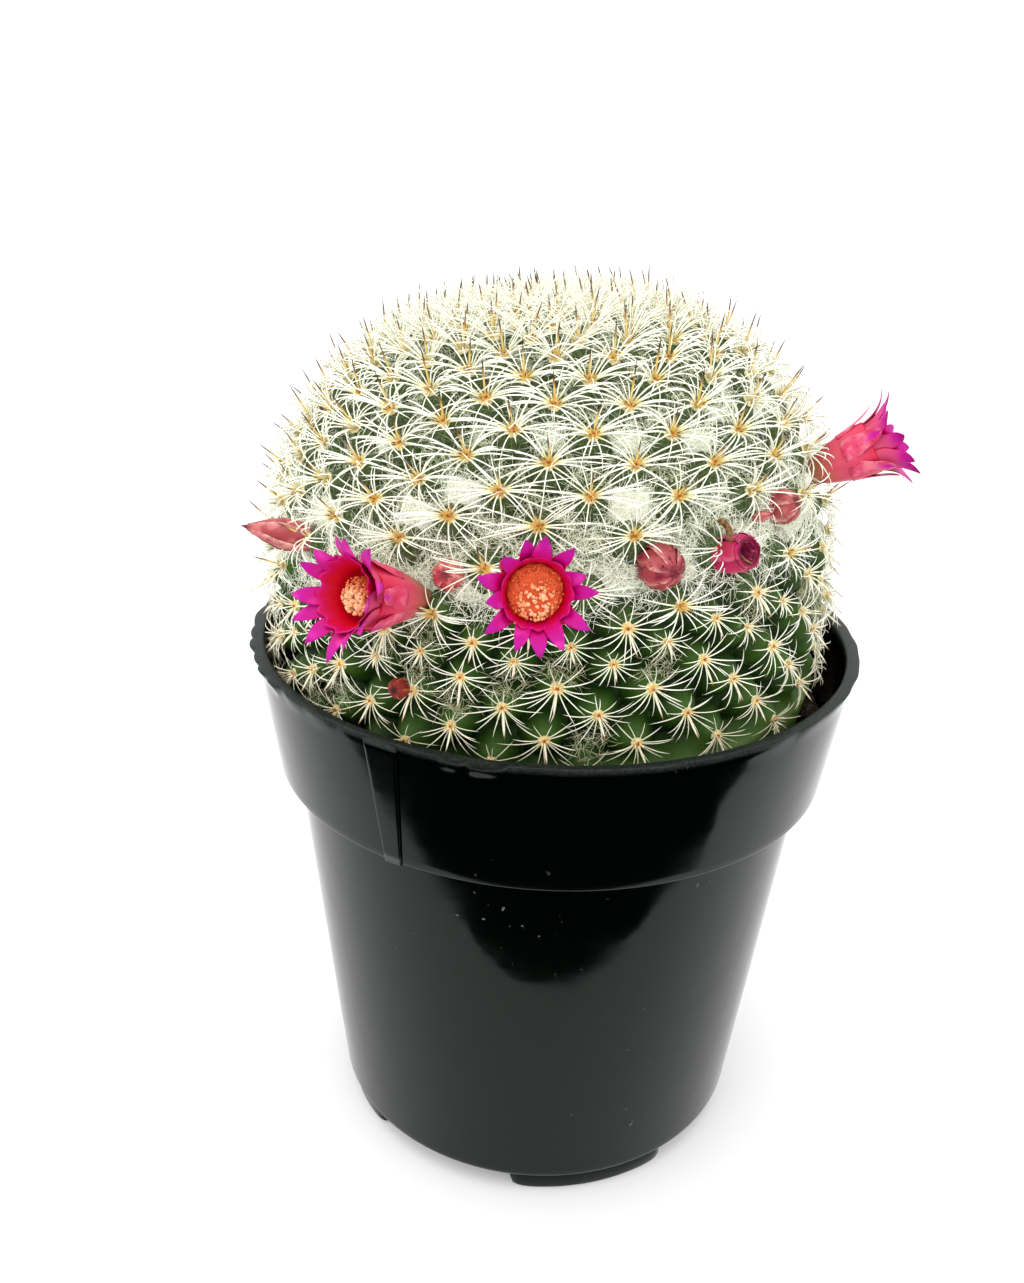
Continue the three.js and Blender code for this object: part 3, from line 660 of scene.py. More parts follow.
# Spines low down near the pot's rim are painted tan and darker: painted shade from the pot's wall.
rim_shade = levels(needle, height_on(needle), 0.7, 0.0, RIM_SHADE_HEIGHTS[0] * MM, RIM_SHADE_HEIGHTS[1] * MM)
colour = mixed(needle, rim_shade, colour, (0.5, 0.4, 0.2, 1))
# The spines also emit a small share of their colour: painted light that brightens them beyond the light they
# get.
feed(needle, shader, colour, painted_glow=0.06)

for name, which, fan, seed in (
    ("crown_spines", pair <= LAST_CROWN_PAIR, CROWN_FAN, 2),
    ("radial_spines_upper", above & (pair > LAST_CROWN_PAIR), YOUNG_FAN, 3),
    ("radial_spines_lower", ~above, OLD_FAN, 4),
):
    rng = np.random.default_rng(seed)
    points, faces, share, number = spine_fan(which, fan, rng)
    tones = rng.uniform(0, 1, number[-1] + 1)[number]
    finish_piece(mesh_object(name, points, faces, along=share, tone=tones), needle, "cactus_flesh")

# ---- Central spines ----
# Each areole has one strong needle and a few short ones. Above the ring of flowers it is thin and golden
# with a dark brown end, and stands out and up. Below the ring it is thick and pale with a brown tip, and
# points down.

MAIN_LENGTH, OLD_LENGTH, SHORT_LENGTH = 6.6, 5.2, 2.4
MAIN_WIDTH, OLD_WIDTH, SHORT_WIDTH = 0.31, 0.36, 0.24
SHORTS = 5
# Pairs counted from the crown, and the share of its full length that the strong needle has there.
MAIN_PAIRS, MAIN_SHARES = [0, 30, 60, 90, 125], [0.74, 0.9, 1.0, 0.9, 0.8]
UPRIGHT_PAIRS = 40  # the crown's needles lean upwards less and less over this many pairs


def centrals(rng):
    """The strong needles and then the short ones, each as a straight strand that leaves its areole a little
    off its rule. The short ones stand evenly round the strong one. Also returns the share of the length, and
    1 where a needle is old, at each point."""
    crown = np.clip(1 - pair / UPRIGHT_PAIRS, 0, 1)[:, None]
    outwards_up, outwards_down = 0.95 * areole_out + 0.4 * areole_up, 0.75 * areole_out - 0.9 * areole_up
    main_way = np.where(above[:, None], outwards_up, outwards_down)
    main_way = unit(main_way + 0.7 * crown * UP + rng.normal(0, 0.12, main_way.shape))
    grown = MAIN_LENGTH * np.interp(pair, MAIN_PAIRS, MAIN_SHARES)
    main_length = np.where(above, grown, OLD_LENGTH * areole_scale) * rng.uniform(0.85, 1.15, len(pair))
    owner = np.repeat(np.arange(len(pair)), SHORTS)
    around = np.tile(circle(SHORTS) + 45, len(pair)) + rng.uniform(-35, 35, len(owner))
    around = np.radians(around)[:, None]
    short_way = 0.5 * (np.cos(around) * areole_up[owner] + np.sin(around) * areole_side[owner])
    short_way = unit(short_way + areole_out[owner] + 0.5 * crown[owner] * UP)
    short_length = SHORT_LENGTH * np.maximum(areole_scale[owner], 0.6) * rng.uniform(0.5, 1.2, len(owner))
    short_start = areoles[owner] + 0.35 * (short_way - areole_out[owner])
    starts = np.concatenate([areoles + 0.1 * areole_out, short_start])
    ways = np.concatenate([main_way, short_way])
    widths = np.concatenate([np.where(above, MAIN_WIDTH, OLD_WIDTH), np.full(len(owner), SHORT_WIDTH)])
    lengths = np.concatenate([main_length, short_length])
    points, faces, share, number = strands(
        starts, ways, rng.normal(0, 0.05, ways.shape), lengths, widths, 6, sides=4
    )
    return points, faces, share, np.concatenate([~above, ~above[owner]])[number]


golden, shader = new_material("brown-tipped spine", Roughness=0.38, Specular_IOR_Level=0.4)
along = carried(golden, "along")
young = ramp(golden, along, [
    (0.0, (0.76, 0.5, 0.14)), (0.46, (0.78, 0.57, 0.17)), (0.6, (0.4, 0.19, 0.05)),
    (0.74, (0.07, 0.022, 0.008)), (1.0, (0.012, 0.006, 0.004)),
])
old = ramp(golden, along, [
    (0.0, (0.75, 0.5, 0.2)), (0.2, (0.92, 0.85, 0.6)), (0.7, (0.9, 0.85, 0.66)), (0.9, (0.42, 0.2, 0.08)),
    (1.0, (0.1, 0.035, 0.02)),
])
feed(golden, shader, mixed(golden, carried(golden, "old"), young, old))
points, faces, share, is_old = centrals(np.random.default_rng(5))
finish_piece(mesh_object("central_spines", points, faces, along=share, old=is_old), golden, "cactus_flesh")

# ---- Felt of the areoles ----
# A small cushion of short woolly hair that the spines stand in: red-brown in the middle, yellow at the edge.

FELT_RADIUS, FELT_HEIGHT, FELT_FOOT = 1.02, 0.6, 0.3
FELT_RINGS, FELT_COLUMNS = 4, 9


def cushions(rng):
    """A rough dome on each areole: rings at falls from 100 to 18 degrees off the outward direction, at a
    radius times sin(fall) and a height times cos(fall). Also returns sin(fall) at each point."""
    size = np.clip(areole_scale, 0.55, 1)[:, None, None]
    fall = np.radians(np.linspace(100, 18, FELT_RINGS))[:, None]
    turn = np.radians(circle(FELT_COLUMNS))[:, None]
    rough = rng.uniform(0.8, 1.2, (len(pair), FELT_RINGS, FELT_COLUMNS))
    spoke = np.cos(turn) * areole_side[:, None, None] + np.sin(turn) * areole_up[:, None, None]
    rings = areoles[:, None, None] + (np.sin(fall) * FELT_RADIUS * rough * size)[..., None] * spoke
    rings = rings + (np.cos(fall) * FELT_HEIGHT * rough * size)[..., None] * areole_out[:, None, None]
    tops = areoles + FELT_HEIGHT * size[:, 0] * areole_out
    points, faces = closed(rings, areoles - FELT_FOOT * areole_out, tops)
    return points, faces, ringed_values(np.sin(fall), rough.shape, 1, 0)


felted, shader = new_material("areole felt", Roughness=0.95, Specular_IOR_Level=0.1)
clumps = noise(felted, 2600, 2, 0.7)
edge = combined(felted, "ADD", carried(felted, "reach"), levels(felted, clumps, -0.4, 0.4))
colour = ramp(felted, edge, [
    (0.1, (0.26, 0.05, 0.012)), (0.34, (0.66, 0.33, 0.075)), (0.62, (0.86, 0.6, 0.2)),
    (0.95, (0.94, 0.84, 0.48)),
])
feed(felted, shader, colour, None, clumps, 0.0003)
points, faces, reach = cushions(np.random.default_rng(6))
finish_piece(mesh_object("areole_felt", points, faces, reach=reach), felted, "cactus_flesh")

# ---- Hair and wool in the axils ----
# Fine hair grows in the hollow above each tubercle. Along the ring of flowers it is a thick white wool, over
# the crown it is a thin cobweb, and near the soil a few old tufts of it have turned beige.

HAIR_WIDTH, WOOL_WIDTH = 0.055, 0.07
TUFT_RADIUS, TUFT_RISE = 2.7, 1.75
# Pairs counted from the crown, and how thick the wool grows above their tubercles.
WOOL_PAIRS, WOOL_SHARES = [80, 99, 113, 129, 134], [0.0, 0.62, 1, 1, 0]
BELT_ANGLE, BELT_SPREAD, BELT_WOOL = 65.0, 4.5, 0.3
FIRST_OLD_PAIR, OLD_TUFTS = 137, 0.55
# Angles from the crown, and how deep the layer of wool lies there under the outline through the tips.
FLEECE_ANGLES = [0, 12, 24, 45, 54, 62, 66, 70]
FLEECE_DEPTHS = [1.6, 1.8, 2.3, 2.8, 2.5, 2.3, 3.0, 7.0]
FLEECE_COLUMNS, FLEECE_ROWS = 300, 96

# An axil lies halfway between an areole and the nearest one right above it.
offset = areoles - areoles[:, None]
further_up = (offset * areole_up[:, None]).sum(-1)
sideways = np.abs((offset * areole_side[:, None]).sum(-1))
right_above = np.where(further_up > 3, 2 * sideways + 0.6 * further_up, np.inf).argmin(1)
axil_out = unit(areole_out + areole_out[right_above])
axils = (areoles + areoles[right_above]) / 2 + 0.35 * axil_out
axil_depth = valley_depth(axils)[0][:, None]
woolly = np.interp(pair, WOOL_PAIRS, WOOL_SHARES)


def level_ways(out, rng):
    """Random unit vectors at right angles to the outward ones."""
    random = rng.normal(0, 1, out.shape)
    return unit(random - (random * out).sum(1)[:, None] * out)


def hair(name, material, roots, out, length, width, lift, rng):
    """Fine hairs that leave their roots in all directions, rise by about the lift and bend a little."""
    direction = unit(level_ways(out, rng) + lift * rng.uniform(0.4, 1.4, (len(roots), 1)) * out)
    bend = rng.normal(0, 0.2, roots.shape) - 0.12 * out
    size = length * rng.uniform(0.55, 1.3, len(roots))
    points, faces, _, number = strands(roots, direction, bend, size, np.full(len(roots), width), 3, 0.03)
    tones = rng.uniform(0, 1, number[-1] + 1)[number]
    finish_piece(mesh_object(name, points, faces, smooth=False, tone=tones), material, "cactus_flesh")


def spread_hair(name, material, seed, count, angles, sink, length, width, lift):
    """Hair rooted in the valleys between two angles from the crown, drawn evenly over the turn and over the
    cosine of the angle, and kept where it is far from the tips. The roots lie on the skin or at the sink."""
    rng = np.random.default_rng(seed)
    highest, lowest = np.cos(np.radians(angles))
    angle = np.degrees(np.arccos(rng.uniform(lowest, highest, 4 * count)))
    outline = stem_surface(angle, rng.uniform(0, 360, 4 * count))
    depth, share = valley_depth(outline)
    kept = np.flatnonzero(share > rng.uniform(0.5, 0.95, 4 * count))[:count]
    out = surface_normals(outline[kept])
    roots = outline[kept] - np.minimum(depth[kept, None], sink) * out
    hair(name, material, roots, out, length, width, lift, rng)


def tufted_hair(name, material, chosen, count, sink, length, width, rng):
    """Hair rooted within TUFT_RADIUS of the chosen axils, sunk by a share of the valley's depth."""
    owner = np.repeat(chosen, count)
    out = axil_out[owner]
    away = TUFT_RADIUS * np.sqrt(rng.uniform(0, 1, (len(owner), 1)))
    roots = axils[owner] - sink * axil_depth[owner] * out + away * level_ways(out, rng)
    hair(name, material, roots, out, length, width, 0.4, rng)


def hair_material(name, pale, dull, painted_glow):
    """Matt hair whose strands vary from a pale to a dull tone, and which give off a share of their colour as
    painted light.
    """
    made, shader = new_material(name, Roughness=0.8, Specular_IOR_Level=0.1)
    feed(made, shader, ramp(made, carried(made, "tone"), [(0.35, pale), (1.0, dull)]), painted_glow=painted_glow)
    return made


# The last number is the share of the colour that each kind of hair emits as painted light, to keep it bright
# in the shaded hollows.
white_hair = hair_material("white hair", (0.97, 0.99, 0.85), (0.86, 0.89, 0.68), 0.11)
ring_wool = hair_material("bright wool", (0.98, 1.0, 0.88), (0.9, 0.93, 0.74), 0.16)
old_hair = hair_material("old beige hair", (0.72, 0.71, 0.49), (0.44, 0.42, 0.25), 0.04)

spread_hair("axil_hair", white_hair, seed=11, count=9800, angles=(8, 66), sink=2.0, length=3.2,
            width=HAIR_WIDTH, lift=0.3)
spread_hair("crown_hair", white_hair, seed=14, count=2600, angles=(2, 28), sink=1.2, length=4.4,
            width=HAIR_WIDTH, lift=0.9)
tufted_hair("flower_ring_tufts", ring_wool, np.flatnonzero(woolly > 0.3), count=105, sink=0.16, length=3.2,
            width=WOOL_WIDTH, rng=np.random.default_rng(12))
spread_hair("flower_ring_wool", ring_wool, seed=15, count=9000, angles=(53, 70), sink=1.5, length=3.0,
            width=WOOL_WIDTH, lift=0.45)
rng = np.random.default_rng(13)
old_axils = np.flatnonzero((pair >= FIRST_OLD_PAIR) & (rng.uniform(0, 1, len(pair)) < OLD_TUFTS))
tufted_hair("old_axil_hair", old_hair, old_axils, count=80, sink=0.1, length=2.8, width=HAIR_WIDTH, rng=rng)


def fleece_layer():
    """The outline, sunk by the depth at each angle from the crown, raised by TUFT_RISE * tuft, and with two
    waves over it. The tuft is woolly * exp(-(distance / TUFT_RADIUS)**2) round each axil, and no less than
    BELT_WOOL * exp(-((angle - BELT_ANGLE) / BELT_SPREAD)**2) round the stem. The layer is closed inside the
    stem. Also returns how much of a tuft each point is in."""
    angle = np.linspace(FLEECE_ANGLES[-1], 1, FLEECE_ROWS)[:, None]
    turn = circle(FLEECE_COLUMNS)
    outline = stem_surface(angle, turn)
    tufted = np.flatnonzero(woolly > 0)
    away = ((outline[:, :, None] - axils[tufted]) ** 2).sum(-1)
    tuft = (woolly[tufted] * np.exp(-away / TUFT_RADIUS**2)).max(-1)
    tuft = np.maximum(tuft, BELT_WOOL * np.exp(-(((angle - BELT_ANGLE) / BELT_SPREAD) ** 2)))
    ripple = np.sin(np.radians(61 * turn + 9 * angle)) * np.sin(np.radians(37 * turn - 31 * angle))
    depth = np.interp(angle, FLEECE_ANGLES, FLEECE_DEPTHS) - TUFT_RISE * tuft + 0.25 * ripple
    points, faces = closed(outline - depth[..., None] * surface_normals(outline), STEM_CENTRE)
    return points, faces, ringed_values(tuft, tuft.shape, 0, 0)


fleece, shader = new_material("white wool", Roughness=0.95, Specular_IOR_Level=0.05)
strand_noise = noise(fleece, 2600, 3, 0.75)
thin = ramp(fleece, crossing(fleece, 900, 0.05), [(0.0, (0.04, 0.058, 0.016)), (1.0, (0.62, 0.66, 0.44))])
thick = ramp(fleece, strand_noise, [(0.36, (0.42, 0.46, 0.3)), (0.54, (0.99, 1.0, 0.92))])
lumps = levels(fleece, noise(fleece, 900, 2, 0.6), -0.3, 0.3)
thickness = combined(fleece, "ADD", carried(fleece, "tuft"), lumps)
colour = mixed(fleece, levels(fleece, thickness, 0, 1, 0.12, 0.4), thin, thick)
# The wool also emits a share of its colour: painted light that keeps it bright down in the shaded hollows.
feed(fleece, shader, colour, None, strand_noise, 0.0003, 0.8, painted_glow=0.08)
points, faces, tuft = fleece_layer()
finish_piece(mesh_object("axil_wool", points, faces, tuft=tuft), fleece, "cactus_flesh")

# ---- Open flowers ----
# Three short funnels stand in the ring. Each is a salmon tube lapped by short sepals, two whorls of pointed
# magenta tepals with a red throat, a dome of orange filaments with paler anthers on it, and a style.

# Profiles turned about a flower's axis, as heights and radii.
TUBE_PROFILE = np.array([
    [-3.5, 1.0], [-1, 1.9], [2, 3], [6, 4.1], [9.2, 4.35], [9.2, 3.7], [7, 3.3], [4, 2.6], [3.2, 0.5],
])
CUP_PROFILE = np.array([
    [8.0, 3.3], [10.0, 3.75], [11.3, 4.25], [12.2, 4.75], [12.1, 4.55], [11.1, 4.05], [10, 3.55], [8, 3.1],
])
MOUND_PROFILE = np.array([
    [3.4, 0.5], [3.4, 1.6], [7, 2.6], [9.8, 3.6], [11.0, 3.65], [11.7, 2.7], [11.9, 0.8],
])
TUBE_COLUMNS, TUBE_FLUTES = 40, 8
CUP_LOBES = 13
# Radii where a tepal starts, bends and ends, the heights of its base and its tip, its width, and whether its
# material follows how near a point is to the edge or how far it is on the back.
SEPALS = {
    "start": 3.75, "bend": 4.8, "tip": 6.0, "base": 4.6, "height": 11.2, "width": 3.5, "shade": "edge",
}
OUTER_WHORL = {
    "start": 3.9, "bend": 4.9, "tip": 8.1, "base": 9.0, "height": 13.6, "width": 3.4, "shade": "back",
}
INNER_WHORL = {
    "start": 3.6, "bend": 4.5, "tip": 7.4, "base": 8.8, "height": 14.4, "width": 3.4, "shade": "back",
}
SEPAL_COUNT, SEPAL_TURN = 6, 25
TEPAL_THICKNESS = 0.26
TEPAL_RINGS, TEPAL_COLUMNS = 16, 12
MOUND_COLUMNS = 28
ANTHERS, ANTHER_REACH, ANTHER_TOP, ANTHER_TURN = 200, 3.55, 12.3, 137.5
FILAMENT_FOOT, FILAMENT_WIDTH = 5.5, 0.3
STYLE_FOOT, STYLE_LENGTH, STYLE_WIDTH = 3.4, 8.4, 0.8
LOBES, LOBE_FOOT, LOBE_LENGTH, LOBE_WIDTH = 6, 10.9, 0.9, 0.36
# Name, azimuth and height on the stem, the azimuth and the rise it faces, size, tepals in each whorl, turn,
# and how far its anthers lie deeper than the top and how wide they have spread.
OPEN_FLOWERS = [
    ("flower_front", -5.7, 121.4, 8, 13, 1.0, 7, 6, 4, 0.3, 1.0),
    ("flower_left", -25.5, 117, -43, 17, 1.08, 7, 6, 12, 2.0, 0.66),
    ("flower_right", 76.4, 127.7, 85, 28, 1.0, 6, 5, 20, 0.5, 1.0),
]


def standing(azimuth, height, faces_to, rise, size, sunk=0.0):
    """Where a flower stands on the outline, sunk along its own axis, the turn that takes +Z along it, and
    its size."""
    upright = abs(height - STEM_Z) / STEM_RISE
    radius = STEM_RADIUS * waist(height) * (1 - upright**STEM_POWER) ** (1 / STEM_POWER)
    axis = heading(faces_to, rise)
    return tilted(heading(azimuth) * radius + [STEM_X, 0, height]) - sunk * axis, turned_to(axis), size


def set_on_stem(name, stand, shape, material, slot, *nodes):
    """A finished piece of a flower, from its points, faces and values in the flower's own frame."""
    place, turn, size = stand
    points, faces, values = shape
    piece = mesh_object(name, (points * size) @ turn.T + place, faces, **values)
    finish_piece(piece, material, slot, *nodes)


def tube():
    """A funnel turned about its axis, with shallow flutes where its tepals have grown together."""
    profile = refined(TUBE_PROFILE, 0.8)
    height, radius = profile[:, :1], profile[:, 1:]
    angle = circle(TUBE_COLUMNS)
    flutes = 1 + 0.04 * np.cos(np.radians(TUBE_FLUTES * angle + 30 * np.sin(height / 3)))
    points = about_axis(radius * flutes, angle, height)
    share = np.clip((height - TUBE_PROFILE[0, 0]) / 13, 0, 1)
    return *closed(points), {"along": ringed_values(share, points.shape[:2], 0, 0.5)}


def cup(turn):
    """The throat, where the tepals' feet have grown together: a thin funnel turned about the axis, whose rim
    rises and falls with the tepals, and the share of a tepal's length that each height stands for."""
    profile = refined(CUP_PROFILE, 0.5)
    height, radius = profile[:, :1], profile[:, 1:]
    angle = circle(CUP_LOBES * 8)
    rise = np.clip((height - 9) / 4, 0, 1)
    lobe = np.cos(np.radians(CUP_LOBES * (angle - turn)))
    points = about_axis(radius + 0.12 * rise * lobe, angle, height + 0.45 * rise * lobe)
    return *closed(points), {"along": ringed_values(0.05 + 0.55 * rise**1.5, points.shape[:2], 0, 0)}


def whorl(plan, count, step, turn, rng):
    """Tepals set round the axis, a step in degrees apart. A tepal's middle follows the quadratic curve from
    its base over its bend, at four fifths of its height, to its tip. With u as the share of the way from t =
    0.4 to the tip, its half-width is width / 2 * 0.7 * (1 - u**2.4), and wider again below t = 0.42, where
    the tepals join in a cup. It is curved across with the radius that its middle has there, twisted and
    swept aside a little."""
    t = np.linspace(0, 1, TEPAL_RINGS + 1)[:-1, None]
    start, bend, base = plan["start"], plan["bend"], plan["base"]
    tip = plan["tip"] + rng.uniform(-0.9, 0.7, (count, 1, 1))
    height = plan["height"] + rng.uniform(-0.8, 0.6, (count, 1, 1))
    middle = base + 0.8 * (height - base)
    out = (1 - t) ** 2 * start + 2 * t * (1 - t) * bend + t**2 * tip
    up = (1 - t) ** 2 * base + 2 * t * (1 - t) * middle + t**2 * height
    out_step = (1 - t) * (bend - start) + t * (tip - bend)
    up_step = (1 - t) * (middle - base) + t * (height - middle)
    slope = unit(np.stack([out_step, up_step], -1))
    angle = np.radians(circle(TEPAL_COLUMNS))
    free = 1 - np.clip((t - 0.4) / 0.6, 0, 1) ** 2.4
    share = 0.7 * free + 0.3 * np.clip((0.42 - t) / 0.2, 0, 1)
    half = plan["width"] / 2 * share * rng.uniform(0.88, 1.08, (count, 1, 1))
    across = half * np.cos(angle)
    thick = TEPAL_THICKNESS / 2 * np.sin(angle) * np.sqrt(1 - 0.8 * t)
    twist = rng.uniform(-0.35, 0.35, (count, 1, 1)) * t
    depth = thick + across**2 / (2 * out) + twist * across
    radial = out - slope[..., 1] * depth
    upward = up + slope[..., 0] * depth
    sweep = rng.uniform(-0.4, 0.4, (count, 1, 1))
    aside = across + sweep * t**2
    place = np.radians(turn + np.arange(count) * step + rng.uniform(-6, 6, count))[:, None, None]
    cos, sin = np.cos(place), np.sin(place)
    points = np.stack([radial * cos - aside * sin, radial * sin + aside * cos, upward], -1)
    ends = np.stack([tip * cos - sweep * sin, tip * sin + sweep * cos, height], -1)[:, 0, 0]
    shade = {"edge": np.abs(np.cos(angle)), "back": np.clip(-2 * np.sin(angle), 0, 1)}[plan["shade"]]
    shape = points.shape[:-1]
    values = {"along": ringed_values(t, shape, 0, 1), plan["shade"]: ringed_values(shade, shape, 0, 0)}
    return *closed(points, last=ends), values


def filament_dome(down, sunk, spread_share, rng):
    """A mound of crowded filaments, single filaments that stand out of it, and an anther on each, as a grain
    of 6 by 3 facets. The anthers nearest the flower's lower side are ripe and full. The value is how far
    each point is a ripe anther's, from 0 to 1."""
    profile = refined(MOUND_PROFILE, 0.5)
    height, radius = profile[:, :1], profile[:, 1:]
    rough = 1 + 0.05 * rng.normal(0, 1, (len(profile), MOUND_COLUMNS))
    mound = about_axis(spread_share * radius * rough, circle(MOUND_COLUMNS), height - sunk * (height > 4))
    spread = np.sqrt(rng.uniform(0.01, 1, ANTHERS)) * ANTHER_REACH * spread_share
    top = ANTHER_TOP - sunk - 0.06 * spread**2 + rng.uniform(-0.45, 0.35, ANTHERS)
    turn = np.arange(ANTHERS) * ANTHER_TURN
    heads, roots = about_axis(spread, turn, top), about_axis(0.6 + 0.7 * spread, turn, FILAMENT_FOOT)
    way = heads - roots
    length, width = np.linalg.norm(way, axis=1), np.full(ANTHERS, FILAMENT_WIDTH)
    filaments = strands(roots, unit(way), 0 * way, length, width, 3, sides=4)[:2]
    ripe = np.clip(1.9 - 0.55 * np.linalg.norm(heads[:, :2] - 1.2 * down[:2], axis=1), 0.2, 1)
    axis = unit(way + rng.normal(0, 2.5, way.shape))
    side = unit(np.cross(axis, crosswise(axis)))
    fall = np.radians([145, 90, 35])[:, None]
    turn = np.radians(circle(6))
    ball = (np.sin(fall) * np.cos(turn))[..., None] * side[:, None, None]
    ball = ball + (np.sin(fall) * np.sin(turn))[..., None] * np.cross(axis, side)[:, None, None]
    ball = ball + (1.35 * np.cos(fall) * np.ones(6))[..., None] * axis[:, None, None]
    grain = (rng.uniform(0.2, 0.36, ANTHERS) * (0.35 + 0.65 * ripe))[:, None, None, None]
    grains_on_top = closed(heads[:, None, None] + grain * ball)
    points, faces = joined(closed(mound), filaments, grains_on_top)
    count = len(grains_on_top[0])
    anther = np.concatenate([np.zeros(len(points) - count), np.repeat(ripe, count // ANTHERS)])
    return points, faces, {"anther": anther}


def style(sunk):
    """The style, a rod with short lobes spread at its end."""
    rod = strands(STYLE_FOOT * UP[None], UP[None], np.zeros((1, 3)), np.array([STYLE_LENGTH - sunk]),
                  np.array([STYLE_WIDTH]), 4, sides=8)[:2]
    ways = unit(about_axis(0.75, circle(LOBES), 1.0))
    feet = np.tile((LOBE_FOOT - sunk) * UP, (LOBES, 1))
    length, width = np.full(LOBES, LOBE_LENGTH), np.full(LOBES, LOBE_WIDTH)
    lobes = strands(feet, ways, 0 * ways, length, width, 4, sides=5)[:2]
    return *joined(rod, lobes), {}


tepal_skin, shader = new_material("magenta tepal", Roughness=0.45, Specular_IOR_Level=0.15)
along = carried(tepal_skin, "along")
streaks = noise(tepal_skin, 620, 3, 0.6)
blend_at = combined(tepal_skin, "ADD", along, levels(tepal_skin, streaks, -0.14, 0.14))
colour = ramp(tepal_skin, blend_at, [
    (0.0, (0.56, 0.0, 0.008)), (0.2, (0.52, 0.0, 0.014)), (0.34, (0.5, 0.0, 0.06)), (0.5, (0.47, 0.0, 0.17)),
    (0.82, (0.4, 0.001, 0.24)), (1.0, (0.3, 0.0, 0.18)),
])
blotches = levels(tepal_skin, noise(tepal_skin, 330, 1), 0.0, 0.55, 0.55, 0.72)
outwards = levels(tepal_skin, along, 0.0, 1.0, 0.35, 0.6)
pale = combined(tepal_skin, "MULTIPLY", blotches, outwards)
colour = mixed(tepal_skin, pale, colour, (0.78, 0.05, 0.4, 1))
behind = ramp(tepal_skin, blend_at, [
    (0.0, (0.62, 0.08, 0.14)), (0.36, (0.6, 0.06, 0.2)), (0.6, (0.52, 0.01, 0.26)), (1.0, (0.34, 0.0, 0.2)),
])
colour = mixed(tepal_skin, carried(tepal_skin, "back"), colour, behind)
feed(tepal_skin, shader, colour, None, streaks, 0.0002, 0.5)

sepal_skin, shader = new_material("salmon sepal", Roughness=0.4, Specular_IOR_Level=0.25)
streaks = noise(sepal_skin, 500, 3, 0.6)
colour = ramp(sepal_skin, streaks, [
    (0.35, (0.56, 0.02, 0.08)), (0.5, (0.66, 0.06, 0.15)), (0.65, (0.74, 0.17, 0.24)),
])
midrib = levels(sepal_skin, carried(sepal_skin, "edge"), 1.0, 0.0, 0.1, 0.75)
outwards = levels(sepal_skin, carried(sepal_skin, "along"), 0.0, 1.0, 0.35, 0.7)
colour = mixed(sepal_skin, combined(sepal_skin, "MULTIPLY", midrib, outwards), colour, (0.52, 0.0, 0.32, 1))
feed(sepal_skin, shader, colour, None, streaks, 0.0003, 0.6)

tube_skin, shader = new_material("salmon flower tube", Roughness=0.4, Specular_IOR_Level=0.3)
streaks = noise(tube_skin, 420, 3, 0.6)
blend_at = combined(tube_skin, "ADD", carried(tube_skin, "along"), levels(tube_skin, streaks, -0.2, 0.2))
colour = ramp(tube_skin, blend_at, [
    (0.15, (0.26, 0.13, 0.045)), (0.36, (0.5, 0.1, 0.09)), (0.6, (0.62, 0.06, 0.12)),
    (1.0, (0.58, 0.01, 0.06)),
])
feed(tube_skin, shader, colour, None, streaks, 0.0003, 0.6)

pollen, shader = new_material("orange filaments and pale anthers", Roughness=0.75, Specular_IOR_Level=0.2)
fuzz = noise(pollen, 3500, 2, 0.6)
mottle = combined(pollen, "ADD", carried(pollen, "anther"), levels(pollen, fuzz, -0.3, 0.3))
colour = ramp(pollen, mottle, [
    (0.0, (0.74, 0.1, 0.03)), (0.3, (0.86, 0.21, 0.08)), (0.65, (0.95, 0.36, 0.16)), (1.0, (1.0, 0.55, 0.3)),
])
feed(pollen, shader, colour, None, fuzz, 0.0004)

olive, shader = new_material("olive style", Roughness=0.5)
feed(olive, shader, ramp(olive, noise(olive, 600), [(0.3, (0.5, 0.14, 0.03)), (0.7, (0.5, 0.3, 0.06))]))

for name, azimuth, height, faces_to, rise, size, outer, inner, turn, deeper, spread_share in OPEN_FLOWERS:
    rng = np.random.default_rng(20 + round(abs(azimuth)))
    stand = standing(azimuth, height, faces_to, rise, size)
    set_on_stem(name + "_funnel", stand, tube(), tube_skin, "flower_tube", name + "_tube")
    step = 720 / (outer + inner)
    whorls = ("outer", OUTER_WHORL, outer, turn), ("inner", INNER_WHORL, inner, turn + step / 2)
    for side, plan, count, first in whorls:
        shape = whorl(plan, count, step, first, rng)
        nodes = [f"{name}_{side}_tepal_{i + 1}" for i in range(count)]
        set_on_stem(f"{name}_{side}_tepals", stand, shape, tepal_skin, "tepal", *nodes)
    set_on_stem(name + "_throat", stand, cup(turn), tepal_skin, "tepal")
    shape = whorl(SEPALS, SEPAL_COUNT, 360 / SEPAL_COUNT, turn + SEPAL_TURN, rng)
    set_on_stem(name + "_sepals", stand, shape, sepal_skin, "tepal")
    shape = filament_dome(-stand[1].T @ UP, deeper, spread_share, rng)
    set_on_stem(name + "_anthers", stand, shape, pollen, "anther", name + "_stamens")
    set_on_stem(name + "_style", stand, style(deeper), olive, "pistil", name + "_pistil")

# ---- Buds, spent flowers and fruit ----
# A pointed bud, a tiny bud tip, four flowers that have closed and dried in the wool, and one small dark
# fruit left low on the stem. Each is a crumpled core with its tepals folded over one another round it.

